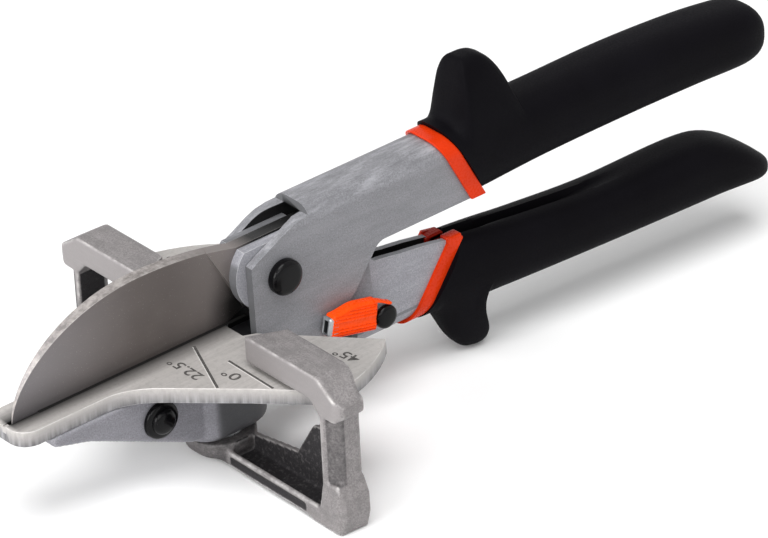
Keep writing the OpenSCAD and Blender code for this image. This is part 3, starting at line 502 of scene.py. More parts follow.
def evaluated(holder):
    """The finished shape of a helper object as a bmesh; the helper is removed."""
    bpy.context.view_layer.update()
    graph = bpy.context.evaluated_depsgraph_get()
    mesh = bpy.data.meshes.new_from_object(holder.evaluated_get(graph))
    bpy.data.objects.remove(holder)
    bm = bmesh.new()
    bm.from_mesh(mesh)
    bpy.data.meshes.remove(mesh)
    return bm


def cast_copy(node, grid, rounds):
    """The node's solid with the soft edges of a casting: meshed evenly, relaxed, and marked where it
    stands out (edge) and where it draws in, the mark for painted shade in its creases. Sizes in millimetres."""
    bm = lift(solid_copy(node))
    mesh = bpy.data.meshes.new(node + "_grid")
    bm.to_mesh(mesh)
    bm.free()
    holder = add_object(node + "_grid", mesh)
    even = holder.modifiers.new("even_mesh", "REMESH")
    even.mode = "VOXEL"
    even.voxel_size = grid
    bm = evaluated(holder)
    bpy.data.meshes.remove(mesh)
    for _ in range(rounds):
        bmesh.ops.smooth_vert(bm, verts=bm.verts, factor=0.5,
                              use_axis_x=True, use_axis_y=True, use_axis_z=True)
    bm.normal_update()
    edge, crease_shade = (bm.verts.layers.float.new(k) for k in ("edge", "crease_shade"))
    for v in bm.verts:
        ring = [e.other_vert(v).co for e in v.link_edges]
        out = (v.co - sum(ring, Vector()) / len(ring)).dot(v.normal) / grid
        v[edge] = smooth_step((out - STANDS_OUT[0]) / STANDS_OUT[1])
        v[crease_shade] = smooth_step((-out - DRAWS_IN[0]) / DRAWS_IN[1])
    return bm


def spun(profile, centre):
    """A turned part about an axis along Y; profile rows are (radius, y), from the near end to the far end."""
    bm = bmesh.new()
    rows = [bm.verts.new((centre[0] + r, y, centre[1])) for r, y in profile]
    line = [bm.edges.new(pair) for pair in zip(rows, rows[1:])]
    bmesh.ops.spin(bm, geom=rows + line, cent=(centre[0], 0, centre[1]), axis=(0, 1, 0), angle=math.tau,
                   steps=TURNED_SIDES, use_merge=True)
    bmesh.ops.remove_doubles(bm, verts=bm.verts, dist=0.001)
    bmesh.ops.recalc_face_normals(bm, faces=bm.faces)
    return bm


def part_at(bm, point, normal):
    """Parts every face along a plane."""
    bmesh.ops.bisect_plane(bm, geom=list(bm.verts) + list(bm.edges) + list(bm.faces), dist=1e-4,
                           plane_co=point, plane_no=normal)


def join_mesh(bm, other):
    """Adds a second bmesh to the first and frees it."""
    part = bpy.data.meshes.new("added")
    other.to_mesh(part)
    other.free()
    bm.from_mesh(part)
    bpy.data.meshes.remove(part)


def rounded_block(bm, low, high, ease, steps=3):
    """Adds a block with rounded edges to a bmesh, in the tool's axes."""
    block = bmesh.new()
    bmesh.ops.create_cube(block, size=1)
    low, high = Vector(low), Vector(high)
    bmesh.ops.scale(block, vec=high - low, verts=block.verts)
    bmesh.ops.translate(block, vec=(low + high) / 2, verts=block.verts)
    bmesh.ops.bevel(block, geom=list(block.edges), offset=ease, offset_type="OFFSET", affect="EDGES",
                    segments=steps, profile=0.5, material=-1)
    join_mesh(bm, block)


def row_value(rows, x, c):
    """Column c of a table of rows at x, on a smooth curve through the rows."""
    i = 0
    while i < len(rows) - 2 and x > rows[i + 1][0]:
        i += 1

    def slope(k):
        a, b = max(0, k - 1), min(len(rows) - 1, k + 1)
        return (rows[b][c] - rows[a][c]) / (rows[b][0] - rows[a][0])
    w = rows[i + 1][0] - rows[i][0]
    t = (x - rows[i][0]) / w
    return ((1 + 2 * t) * (1 - t) ** 2 * rows[i][c] + t * (1 - t) ** 2 * w * slope(i)
            + t * t * (3 - 2 * t) * rows[i + 1][c] - t * t * (1 - t) * w * slope(i + 1))


def spaced(x0, x1, step):
    """Even stations from x0 up to, but without, x1."""
    count = max(1, round((x1 - x0) / step))
    return [x0 + (x1 - x0) * i / count for i in range(count)]


def loft(stations, section, sides=72):
    """Extrudes a ring from station to station. section(x, turn) gives Y and Z at a turn of the ring."""
    bm = bmesh.new()
    bmesh.ops.create_circle(bm, segments=sides, radius=1)
    turn = {v: math.atan2(v.co.y, v.co.x) for v in bm.verts}
    edges = list(bm.edges)
    for v, a in turn.items():
        v.co = (stations[0], *section(stations[0], a))
    for x in stations[1:]:
        made = bmesh.ops.extrude_edge_only(bm, edges=edges)["geom"]
        edges = [g for g in made if isinstance(g, bmesh.types.BMEdge)]
        ring = [g for g in made if isinstance(g, bmesh.types.BMVert)]
        before = {v: next(e.other_vert(v) for e in v.link_edges if e.other_vert(v) in turn) for v in ring}
        turn = {v: turn[before[v]] for v in ring}
        for v, a in turn.items():
            v.co = (x, *section(x, a))
    bmesh.ops.holes_fill(bm, edges=[e for e in bm.edges if e.is_boundary])
    bmesh.ops.recalc_face_normals(bm, faces=bm.faces)
    return bm


def bent(a, power):
    """Cosine and sine of a turn, drawn out towards the corners of a square by a power below 1."""
    return tuple(math.copysign(abs(v) ** power, v) for v in (math.cos(a), math.sin(a)))


# Grips

# the plain forms: x, lowest z, highest z, half width
UPPER_ROWS = [
    (110.5, 7.2, 27.1, 7.8), (128, 7.5, 26.6, 7.9), (150.5, 8.6, 26.1, 8), (176.5, 8.8, 26.1, 8.2),
    (198.5, 8.4, 25, 8.2), (212.5, 7.8, 23.4, 8), (217.2, 8.1, 22.4, 7.2), (219.8, 9.3, 20.4, 6),
    (221.2, 11.2, 17.8, 4.2), (221.8, 12.8, 14.8, 2)]
LOWER_ROWS = [
    (104.5, -19.6, -0.8, 5.6), (116.5, -19.9, -1.4, 6), (132.5, -20.8, -3.4, 7.4),
    (146.5, -21.4, -5.4, 7.9), (170.5, -22.4, -7.8, 8.2), (195.5, -23.6, -8, 8.2),
    (204, -23.9, -8.8, 8.2), (208.5, -24.1, -10.2, 8.2), (213, -24.4, -12.5, 8),
    (217.7, -24.8, -15.9, 7.2), (220.9, -24.7, -18.7, 5.6), (222.7, -23.9, -20.4, 3.6),
    (223.4, -22.6, -21.6, 2)]
UPPER_END, LOWER_END = UPPER_ROWS[-1][0], LOWER_ROWS[-1][0]
# powers of the rounding: the grips' sections, and the stops across the grip
ROUNDING = 0.74
THUMB_ACROSS, FINGER_ACROSS = (4, 1.4), (3, 1.5)
# thumb stop: the x it is measured from, its height, the share of it at each step behind that x, and where
# its long back begins, how far it runs and by which power it falls
THUMB_X, THUMB_H = 122.4, 14.96
THUMB_ROWS = [
    (2.2, 0), (3.3, 0.05), (4.3, 0.25), (4.8, 0.48), (5.05, 0.68), (5.3, 0.84), (5.9, 0.95), (6.8, 1)]
THUMB_BACK, THUMB_RUN, THUMB_FALL = 9.6, 12, 2.4
# finger stop: the x it is measured from, its lowest z, and the share of its drop at each step behind that x
FINGER_X, FINGER_Z = 117.6, -34.6
FINGER_ROWS = [
    (1.1, 0), (3.4, 0.31), (5.8, 0.63), (7.6, 0.8), (9.2, 0.91), (10.7, 0.97), (12.1, 1), (13.4, 0.985),
    (14.1, 0.94), (14.5, 0.8), (14.7, 0.36), (15, 0.1), (15.8, 0)]
# how far the finger stop's rear side lies ahead of (-) or behind a plain drop, by height; the stretch of x
# where that holds, and the run over which it sets in
STOP_BACK = [
    (-34.6, 1.8), (-30.7, 1.5), (-29.1, 1), (-27.7, 0.5), (-26.4, -0.1), (-25.4, -0.4), (-24.4, -0.8),
    (-23, -1.1), (-21.4, -1.3), (-19.7, -1.2), (-17.7, -0.7), (-16.5, 0)]
STOP_FROM, STOP_TO, STOP_RUN = 127, 136, 4
# groove in the lower grip's top: half width, the width of its lip, its depth, and where it begins and ends
GROOVE_HALF, GROOVE_LIP, GROOVE_DEPTH = 1.5, 0.5, 5
GROOVE_START, GROOVE_END = 128, 182
# front faces: a point on each and its lean in degrees
UPPER_FRONT, UPPER_FRONT_LEAN = (125.5, 0, 19), 27.5
LOWER_FRONT, LOWER_FRONT_LEAN = (125.43, 0, -2.4), 35.5


def thumb_rise(x):
    u = x - THUMB_X
    if u < THUMB_ROWS[0][0]:
        return 0
    front = min(1, row_value(THUMB_ROWS, min(u, THUMB_ROWS[-1][0]), 1))
    behind = max(0, (u - THUMB_BACK) / THUMB_RUN)
    return front * max(0, 1 - behind ** THUMB_FALL)


def finger_drop(x):
    u = x - FINGER_X
    if not FINGER_ROWS[0][0] < u < FINGER_ROWS[-1][0]:
        return 0
    return min(1, max(0, row_value(FINGER_ROWS, u, 1)))


def grip_section(low, top, half, a):
    c, d = bent(a, ROUNDING)
    return MID_Y + half * c, (low + top) / 2 + (top - low) / 2 * d


def across(y, half, powers):
    """A stop's share of its full height, which falls off smoothly towards the grip's sides."""
    side = min(1, abs(y - MID_Y) / half)
    return (1 - side ** powers[0]) ** powers[1]


def upper_section(x, a):
    low, top, half = (row_value(UPPER_ROWS, x, c) for c in (1, 2, 3))
    y, z = grip_section(low, top, half, a)
    if z > (low + top) / 2:
        z += THUMB_H * thumb_rise(x) * across(y, half, THUMB_ACROSS)
    return y, z


def lower_section(x, a):
    low, top, half = (row_value(LOWER_ROWS, x, c) for c in (1, 2, 3))
    y, z = grip_section(low, top, half, a)
    if z < (low + top) / 2:
        z -= (low - FINGER_Z) * finger_drop(x) * across(y, half, FINGER_ACROSS)
    elif x < GROOVE_END:
        floor = top - GROOVE_DEPTH * (1 - smooth_step((x - GROOVE_START) / (GROOVE_END - GROOVE_START)))
        inside = 1 - smooth_step((abs(y - MID_Y) - GROOVE_HALF + GROOVE_LIP / 2) / GROOVE_LIP)
        z += (min(z, floor) - z) * inside
    return y, z


def cut_front(bm, planes):
    """Takes off what lies in front of every plane; planes are (point, normal towards the handle's end)."""
    for point, normal in planes:
        part_at(bm, point, normal)
    gone = [f for f in bm.faces
            if all((f.calc_center_median() - Vector(p)).dot(Vector(n)) < 0 for p, n in planes)]
    bmesh.ops.delete(bm, geom=gone, context="FACES")
    bmesh.ops.holes_fill(bm, edges=[e for e in bm.edges if e.is_boundary])
    bmesh.ops.recalc_face_normals(bm, faces=bm.faces)


def make_upper_grip():
    ends = [UPPER_END - k for k in (14, 12, 10, 8, 6.5, 5, 4, 3, 2.2, 1.5, 0.9, 0.5, 0.2, 0.05, 0)]
    bm = loft(spaced(108, 117, 3) + spaced(117, 152, 0.5) + spaced(152, 208, 3) + ends, upper_section)
    cut_front(bm, [(UPPER_FRONT, (1, 0, math.tan(math.radians(UPPER_FRONT_LEAN))))])
    piece("upper_grip", settle(bm), "frame", RUBBER, "grip_rubber", "upper_grip")


def make_lower_grip():
    ends = [LOWER_END - k for k in (22, 20, 18, 16, 14, 12, 10, 8, 6, 4.6, 3.4, 2.4, 1.6, 1, 0.5, 0.2,
                                    0.05, 0)]
    stations = (spaced(102, 116, 3) + spaced(116, 130.6, 0.5) + spaced(130.6, 134.2, 0.12)
                + spaced(134.2, 200, 2.2) + ends)
    bm = loft(stations, lower_section, sides=96)
    # the finger stop's rear side is hollowed under the grip and stands out again at its end
    for v in bm.verts:
        if v.co.z < STOP_BACK[-1][0] and STOP_FROM < v.co.x < STOP_TO:
            shift = row_value(STOP_BACK, max(v.co.z, STOP_BACK[0][0]), 1)
            v.co.x += shift * smooth_step((v.co.x - STOP_FROM) / STOP_RUN)
    leant = (1, 0, -math.tan(math.radians(LOWER_FRONT_LEAN)))
    cut_front(bm, [(LOWER_FRONT, (1, 0, 0)), (LOWER_FRONT, leant)])
    piece("lower_grip", settle(bm), "blade_arm", RUBBER, "grip_rubber", "lower_grip")


# Turned parts: node, body, centre in X and Z, the head's seat in Y, rows of (radius, height above the
# seat) for the head, and rows of (radius, y) for the shank's end
LATCH_PIN = (98, -9.6)
TURNED = [
    ("pivot_bolt", "frame", (PIVOT.x, PIVOT.z), MID_Y - 6.25,
     [(0, 2.6), (2.6, 2.58), (3.3, 2.5), (3.8, 2.3), (4.15, 1.95), (4.3, 1.5), (4.3, 0.35), (4.12, 0),
      (2.5, 0)],
     [(2.5, 7.6), (2.2, 7.95), (0, 7.95)]),
    ("jaw_screw", "frame", (35.7, -11.2), MID_Y - 5.6,
     [(0, 2.8), (1.2, 2.76), (2.2, 2.6), (2.8, 2.3), (3.05, 1.9), (3.1, 1.45), (3.5, 1.4), (4.1, 1.3),
      (4.42, 1.05), (4.5, 0.7), (4.5, 0.2), (4.35, 0), (2, 0)],
     [(2, 7), (1.75, 7.3), (0, 7.3)]),
    ("latch_pin", "blade_arm", LATCH_PIN, -10.45,
     [(0, 1.6), (1.9, 1.58), (2.5, 1.42), (2.8, 1.1), (2.9, 0.7), (2.9, 0.1), (2.8, 0), (1.7, 0)],
     [(1.7, -3.2), (1.5, -3), (0, -3)]),
]


def make_turned(node, body, centre, seat, head, shank):
    profile = [(r, seat - h) for r, h in head] + shank
    piece(node, settle(spun(profile, centre)), body, BLACK, "black_steel", node)


# Pieces that keep the solid's shape, with eased edges: node, body, finish, slot, width and steps of the
# rounding
EASED = [
    ("upper_collar", "frame", COLLAR_ORANGE, "orange_plastic", 0.3, 3),
    ("jaw_nut", "frame", BLACK, "black_steel", 0.25, 2),
    ("cheek_rivets", "frame", ZINC, "zinc_steel", 0.3, 3),
    ("pivot_washer", "frame", BLACK, "black_steel", 0.12, 2),
    ("pivot_nut", "frame", BLACK, "black_steel", 0.25, 2),
    ("pivot_bush", "frame", BRONZE, "bush_bronze", 0.15, 2),
    ("fence_screw", "frame", ZINC, "zinc_steel", 0.2, 2),
    ("fence_washer", "frame", ZINC, "zinc_steel", 0.1, 2),
    ("blade_rivets", "blade_arm", ZINC, "zinc_steel", 0.15, 2),
    ("spring_pin", "blade_arm", ZINC, "zinc_steel", 0.15, 2),
    ("latch_washer", "blade_arm", ZINC, "zinc_steel", 0.15, 2),
]

# Channels: the x behind which the sheet's inner width changes, the end of the lower one's open mouth, the
# widest cut edge, how far from the middle it lies, and the height above which a face is part of the crown
INNER_STEP, MOUTH_END = 96, 90
CUT_WIDTH, CUT_FROM = 3.2, 1.6
CROWN_Z = 14


def make_channel(node, body, finish, inner, rear_inner):
    """A bent channel, with painted shade: near black on the faces that look inwards, and grey on the sheet's
    edges that face down or into the lower channel's mouth; inner half widths in front of and behind the hub."""
    bm = lift(eased_copy(node, width=0.35, steps=3, join=0.15))

    def looks_in(f):
        c = f.calc_center_median()
        half = inner if c.x < INNER_STEP else rear_inner
        return abs(c.y - MID_Y) < half + 0.1 and f.normal.y * (c.y - MID_Y) <= 0.02

    def is_shaded_cut(f):
        wide = [v.co.y for v in f.verts]
        c = f.calc_center_median()
        in_mouth = node == "lower_channel" and c.y > MID_Y and c.x < MOUTH_END
        return (abs(f.normal.y) < 0.3 and (f.normal.z < 0.35 or in_mouth)
                and max(wide) - min(wide) < CUT_WIDTH and abs(c.y - MID_Y) > CUT_FROM)
    # painted shade: inward faces near black, and the sheet's edges that face down or into the mouth grey
    mark(bm, "inside", lambda v: float(len(v.link_faces) > 0 and all(looks_in(f) for f in v.link_faces)))
    mark(bm, "painted_grey_shade", lambda v: float(any(is_shaded_cut(f) for f in v.link_faces)))
    # the crown: up-facing faces that carry the streaked painted sheen
    mark(bm, "crown", lambda v: smooth_step(v.normal.z / 0.8) if v.co.z > CROWN_Z else 0.0)
    piece(node + "_finished", settle(bm), body, finish, "powder_coat", node)


# Jaw: where the boss's near side lies, and where the tongue between the cheeks begins
BOSS_X, BOSS_Y = 48.2, MID_Y - 4
TONGUE_X, TONGUE_Z = 54, 0.1


def make_jaw():
    bm = cast_copy("jaw_body", grid=0.42, rounds=5)

    def boss_side_shade(v):
        """Painted shade on the boss's side under the table."""
        return smooth_step((v.normal.x + 0.4) / 0.3) if v.co.x > BOSS_X and v.co.y < BOSS_Y else 0.0

    def dark(v):
        """Painted shade: near black on the tongue between the cheeks, and a little on the boss's shaded side.
        """
        tongue = v.co.z > TONGUE_Z or v.co.x > TONGUE_X and v.normal.z > 0.4
        return 0.93 if tongue else 0.4 * boss_side_shade(v)
    # painted shade: grey on the boss's side, near black on the tongue
    mark(bm, "painted_grey_shade", boss_side_shade)
    mark(bm, "inside", dark)
    piece("jaw_casting", settle(bm), "frame", JAW_COAT, "powder_coat", "jaw_body", sharp=70)


# Fence: its face, the posts' inner side, the height above which forward faces get painted light, and the
# hub's centre, radius and rim
FENCE_FACE, POST_INNER, LIT_FRONT_Z = 52.1, 42.6, -8
HUB_X, HUB_R, HUB_RIM = 56.4, 8, 1.2
# pockets of its casting: ranges of depth behind the face, of the distance from the middle and of z, the
#  outward slant that a face there stays under, and the share of darkening, partly dirt and partly painted
#  shade
POCKETS = [
    # the post's set-back front
    (((0.7, 3.2), (POST_INNER + 1.45, POST_INNER + 5.2), (-19, -1.2)), math.inf, 0.72),
    # the rail's panel
    (((-math.inf, 1), (10, POST_INNER - 6.2), (-29.25, -27.05)), math.inf, 1.7),
    # the post's inner side
    (((0.9, 7.5), (POST_INNER - 0.5, POST_INNER + 0.5), (-28, -2.5)), -0.6, 1.7),
    # the trough and the web
    (((1.25, 7.75), (9.2, POST_INNER - 0.1), (-28.6, -11)), 0.5, 1.3),
]


def in_pocket(v):
    at = (v.co.x - FENCE_FACE, abs(v.co.y), v.co.z)
    outward = v.normal.y * math.copysign(1, v.co.y)
    for box, slant, share in POCKETS:
        if outward < slant and all(low < c < high for c, (low, high) in zip(at, box)):
            return share
    from_hub = math.hypot(v.co.x - HUB_X, v.co.y - MID_Y)
    return 0.75 * (1 - smooth_step((from_hub - HUB_R) / HUB_RIM))


def make_fence():
    bm = cast_copy("fence", grid=0.4, rounds=4)
    mark(bm, "pocket", in_pocket)
    # painted light on the faces that look forward
    mark(bm, "front", lambda v: smooth_step((-v.normal.x - 0.6) / 0.3) if v.co.z > LIT_FRONT_Z else 0.0)
    pocket, edge = bm.verts.layers.float["pocket"], bm.verts.layers.float["edge"]
    for v in bm.verts:
        v[edge] *= max(0.3, 1 - 0.6 * v[pocket])
    piece("fence_casting", settle(bm), "fence", FENCE_METAL, "bare_casting", "fence", sharp=70)


# Table: the height below which its sides are sawn, the slot's middle, half width and ends, and the block by
# which the slot runs out shallow at the nose, ahead of the blade's tip
SAWN_Z = -0.3
SLOT_Y, SLOT_HALF, SLOT_START, SLOT_END = -0.1, 0.82, 0.4, 70
NOSE_LOW, NOSE_HIGH = (-0.96, -0.95, -1.75), (0.45, 0.75, -0.35)


def make_table():
    bm = lift(eased_copy("table_plate", width=0.4, steps=3, join=0.15))
    part_at(bm, (NOSE_HIGH[0], 0, 0), (1, 0, 0))
    mark(bm, "side", lambda v: float(v.co.z < SAWN_Z))
    # painted shade along the slot
    mark(bm, "slot", lambda v: float(abs(v.co.y - SLOT_Y) < SLOT_HALF and SLOT_START < v.co.x < SLOT_END))
    whole = len(bm.verts)
    rounded_block(bm, NOSE_LOW, NOSE_HIGH, ease=0.12)
    bm.verts.ensure_lookup_table()
    side = bm.verts.layers.float["side"]
    for v in bm.verts[whole:]:
        v[side] = 1.0
    piece("table_plate_finished", settle(bm), "frame", TABLE_METAL, "bare_casting", "table_plate")


# Blade: where its spine and its nose end, and where the spine's brightness begins to fade and its run
SPINE_END, NOSE_END = 64, 40
FADE_FROM, FADE_RUN = 38, 22


def make_blade():
    bm = lift(eased_copy("blade", width=0.1, steps=2, join=0.05))

    def is_rim(f):
        x, n = f.calc_center_median().x, f.normal
        return abs(n.y) < 0.5 and (n.z > 0.05 and x < SPINE_END or n.x < -0.3 and x < NOSE_END)

    def spine(v):
        """A band of its own, a little rounder and brighter than the flanks."""
        return 1 - smooth_step((v.co.x - FADE_FROM) / FADE_RUN) if any(map(is_rim, v.link_faces)) else 0.0
    mark(bm, "spine", spine)
    piece("blade_finished", settle(bm), "blade_arm", BLADE_STEEL, "blade_steel", "blade")


def make_opening_spring():
    bm = bmesh.new()
    bm.from_mesh(frame["nodes"]["opening_spring"].data)
    bmesh.ops.remove_doubles(bm, verts=bm.verts, dist=1e-6)
    piece("opening_spring_finished", bm, "blade_arm", ZINC, "zinc_steel", "opening_spring", sharp=80)


# Lower collar: the lips by which it hooks over both rims of the lower channel, as blocks with their
# rounding; what lies between its sides and above a height is shaded
LIPS = [
    ((121.2, -6.35, -3), (125.35, -3.6, -0.95), 0.5), ((121.2, -4.1, -5), (125.35, -3.3, -1.1), 0.25),
    ((119.9, 0.25, -5.8), (125.2, 1.05, -3.2), 0.25), ((120.6, 0.25, -4.8), (125.2, 3.3, -3), 0.5)]
SHADED_NEAR, SHADED_FAR, SHADED_Z = -4.2, 3, -6


def make_lower_collar():
    bm = lift(eased_copy("lower_collar", width=0.3, steps=3, join=0.1))
    for low, high, ease in LIPS:
        rounded_block(bm, low, high, ease)
    mark(bm, "shaded", lambda v: 0.8 if SHADED_NEAR < v.co.y < SHADED_FAR and v.co.z > SHADED_Z else 0.0)
    piece("lower_collar_finished", settle(bm), "blade_arm", COLLAR_ORANGE, "orange_plastic", "lower_collar")


# Latch, in its own axes: X from the pin along the lever, Z down across it, turned by its slope in degrees;
# and the radius round the pin that the sleeve keeps clear of
LATCH_SLOPE = 13
LATCH_TURN = (Matrix.Translation((LATCH_PIN[0], 0, LATCH_PIN[1]))
              @ Matrix.Rotation(math.radians(180 + LATCH_SLOPE), 4, "Y"))
HEAD_CLEAR = 3.02
# sleeve: its ends, its middle and half thickness in Y, its height above the middle at the pin, the same at
# its tip and below the middle, where it begins to narrow, how far its ends draw in, the power of its rounding
SLEEVE_START, SLEEVE_END = 3.2, 16.3
SLEEVE_Y, SLEEVE_HALF = -9.9, 1.75
SLEEVE_TALL, SLEEVE_LOW, SLEEVE_NARROWS = 4.75, 2.85, 9
SLEEVE_DRAW, SLEEVE_ROUNDING = 0.6, 0.42
# its ribs: depth, pitch, and the run over which they set in
RIB_DEPTH, RIB_PITCH, RIB_RUN = 0.36, 0.8, 0.9
# tongue: its ends, its middle and half width in Y, its half thickness, its height at the tip, how far it
# rises over which run, how far its tip draws in over which run, the power of its rounding
TONGUE_TIP, TONGUE_END = -1.1, 4.6
TONGUE_Y, TONGUE_HALF, TONGUE_THICK = -10.7, 0.95, 0.36
TONGUE_LOW, TONGUE_RISE, TONGUE_RUN = 3.34, 1.1, 5
TONGUE_DRAW, TONGUE_DRAW_RUN, TONGUE_ROUNDING = 0.3, 0.5, 0.5
# corners of the block at the lever's end
LEVER_TIP_LOW, LEVER_TIP_HIGH = (13.6, -11.3, -2.2), (17, -8.4, 2.3)


def sleeve_section(x, a):
    """Ribbed on the near face, plain behind, taller towards the pin, drawn in at both ends."""
    c, d = bent(a, SLEEVE_ROUNDING)
    ends = min(x - SLEEVE_START, SLEEVE_END - x)
    pull = SLEEVE_DRAW * (1 - smooth_step(ends / SLEEVE_DRAW))
    narrow = smooth_step((x - SLEEVE_NARROWS) / (SLEEVE_END - SLEEVE_NARROWS))
    rise = SLEEVE_TALL - (SLEEVE_TALL - SLEEVE_LOW) * narrow
    y, z = SLEEVE_Y + (SLEEVE_HALF - pull) * c, ((rise if d < 0 else SLEEVE_LOW) - pull) * d
    if c < -0.9:
        wave = 0.5 + 0.5 * math.cos(z * math.tau / RIB_PITCH)
        y += RIB_DEPTH * wave * smooth_step(ends / RIB_RUN)
    return y, z


def tongue_section(x, a):
    """The thin tongue that runs from the sleeve's top down over the pin's head."""
    c, d = bent(a, TONGUE_ROUNDING)
    pull = TONGUE_DRAW * (1 - smooth_step((x - TONGUE_TIP) / TONGUE_DRAW_RUN))
    middle = TONGUE_LOW + TONGUE_RISE * smooth_step((x - TONGUE_TIP) / TONGUE_RUN)
    return TONGUE_Y + (TONGUE_HALF - pull) * c, -middle + (TONGUE_THICK - pull) * d


def sink_tip(bm, tip, rim, depth):
    """Leaves a rim round the end face of a part along X and sets the rest back."""
    bmesh.ops.inset_region(bm, faces=[tip], thickness=rim, depth=0)
    bmesh.ops.translate(bm, vec=(-depth, 0, 0), verts=tip.verts)


def make_latch_sleeve():
    """Orange thumb piece: lengthwise ribs, an open tip round the steel lever, a tongue over the pin's
    head."""
    starts = [SLEEVE_START + k for k in (0, 0.06, 0.16, 0.3, 0.6)]
    ends = [SLEEVE_END - k for k in (0.9, 0.55, 0.3, 0.16, 0.06, 0)]
    bm = loft(starts + spaced(4.2, ends[0], 0.8) + ends, sleeve_section, sides=288)
    caps = [f for f in bm.faces if len(f.verts) > 4]
    sink_tip(bm, max(caps, key=lambda f: f.calc_center_median().x), rim=0.3, depth=1.6)
    # the end at the pin slants, and stays clear of the pin's head
    for v in bm.verts:
        v.co.x -= (0.2 + 0.7 * smooth_step((v.co.z + 3) / 6)) * smooth_step((8 - v.co.x) / 4)
        if math.hypot(v.co.x, v.co.z) < HEAD_CLEAR:
            v.co.x = math.sqrt(HEAD_CLEAR ** 2 - v.co.z ** 2)
    starts = [TONGUE_TIP + k for k in (0, 0.05, 0.2, 0.5)]
    stations = starts + spaced(-0.2, TONGUE_END, 0.6) + [TONGUE_END]
    join_mesh(bm, loft(stations, tongue_section, sides=32))
    settle(move(bm, LATCH_TURN))
    piece("latch_sleeve_ribbed", bm, "latch", LATCH_ORANGE, "orange_plastic", "latch_sleeve", sharp=60)


def make_latch_lever():
    """Steel lever: a boss round the pin, a flat arm inside the sleeve, and a rounded tip that fills its
    end."""
    bm = eased_copy("latch_lever", width=0.25, steps=2, join=0.1)
    move(bm, LATCH_TURN.inverted() @ stand.inverted())
    rounded_block(bm, LEVER_TIP_LOW, LEVER_TIP_HIGH, ease=0.7, steps=4)
    # painted shade in the tip's recess
    inside = bm.verts.layers.float.new("inside")
    tip = max(bm.faces, key=lambda f: f.calc_center_median().x)
    sink_tip(bm, tip, rim=0.1, depth=0.4)
    for v in tip.verts:
        v[inside] = 1
    settle(move(bm, LATCH_TURN))
    piece("latch_lever_finished", bm, "latch", ZINC, "zinc_steel", "latch_lever")


for node, body, finish, slot, width, steps in EASED:
    piece(node + "_finished", eased_copy(node, width, steps, join=0.15), body, finish, slot, node)
make_channel("upper_channel", "frame", COAT, inner=4.15, rear_inner=4.15)
make_channel("lower_channel", "blade_arm", LOWER_COAT, inner=1.5, rear_inner=2.5)
make_jaw()
make_fence()
make_table()
make_blade()
make_lower_collar()
make_latch_sleeve()
make_latch_lever()
make_upper_grip()
make_lower_grip()
for row in TURNED:
    make_turned(*row)
make_opening_spring()


# Marks on the table

# height of the marks' middle over the table's top, thickness of a line, and the numerals' size
MARK_Z, LINE_THICK, NUMBER_SIZE = -0.005, 0.04, 3.9
# lines, the painted highlights on their burrs and a strip of painted shade by the slot: name, both ends in X
# and Y, width, finish
LINES = [
    ("slot_edge_shade", (8, -0.85), (66, -0.85), 0.9, PAINTED_SLOT_SHADE),
    ("line_22_5", (49.4, -3.2), (42.1, -20.5), 0.68, INK),
    # painted highlights beside the lines
    ("line_22_5_burr_highlight", (48.95, -3.4), (41.65, -20.5), 0.22, BURR_HIGHLIGHT),
    ("line_0", (51, -13.4), (50.7, -29.2), 0.58, INK),
    ("line_0_burr_highlight", (50.55, -13.6), (50.25, -28.9), 0.18, BURR_HIGHLIGHT),
]
# numerals: name, text, where they start and end in X and Y
NUMBERS = [
    ("number_22_5", "22.5°", (43.26, -14.8), (43.23, -4.5)),
    ("number_0", "0°", (49.19, -20.87), (48.9, -16.31)),
    ("number_45_near", "45°", (72.81, -33.09), (71.75, -26.6)),
    ("number_45_far", "45°", (69.6, 26.2), (70.6, 33.2)),
]


def on_table(bm, at, way):
    """Sets a mark down at a point of the table's top, turned along a way."""
    turn = Matrix.Rotation(math.atan2(way.y, way.x), 4, "Z")
    return settle(move(bm, Matrix.Translation((at.x, at.y, MARK_Z)) @ turn))


def table_line(name, start, end, width, finish):
    start, end = Vector(start), Vector(end)
    bm = bmesh.new()
    bmesh.ops.create_cube(bm, size=1)
    bmesh.ops.scale(bm, vec=((end - start).length, width, LINE_THICK), verts=bm.verts)
    piece(name, on_table(bm, (start + end) / 2, end - start), "frame", finish, "bare_casting")


def table_number(name, words, start, end):
    start, end = Vector(start), Vector(end)
    curve = bpy.data.curves.new(name + "_outline", "FONT")
    curve.body = words
    curve.size = NUMBER_SIZE
    curve.offset = 0.05
    curve.extrude = 0.02
    bm = evaluated(add_object(name + "_outline", curve))
    bmesh.ops.remove_doubles(bm, verts=bm.verts, dist=1e-4)
    wide = max(v.co.x for v in bm.verts) - min(v.co.x for v in bm.verts)
    bmesh.ops.scale(bm, vec=((end - start).length / wide, 1, 1), verts=bm.verts)
    piece(name, on_table(bm, start, end - start), "frame", INK, "bare_casting")


for row in LINES:
    table_line(*row)
for row in NUMBERS:
    table_number(*row)


# Floor, light and camera

FLOOR_HALF, FLOOR_Z = 4, -0.0002
# the sky's strength on the surfaces, and as the camera and reflections see it
SKY_LIGHT, SKY_SEEN = 0.24, 1.0
LAMP_TARGET = (0, 0, 0.03)
# the picture in pixels, and the camera's sensor in millimetres
PICTURE_W, PICTURE_H, SENSOR = 768, 538, 36
# the photograph's view, worked out in the tool's axes: focal length in pixels, distance in millimetres,
# turn, height and roll in degrees, and where the origin falls in the picture
FOCAL, DISTANCE = 5545, 1200
VIEW_ANGLES = (-39.05, 30.62, -2.84)
ORIGIN_SEEN = (6.96, 424.22)


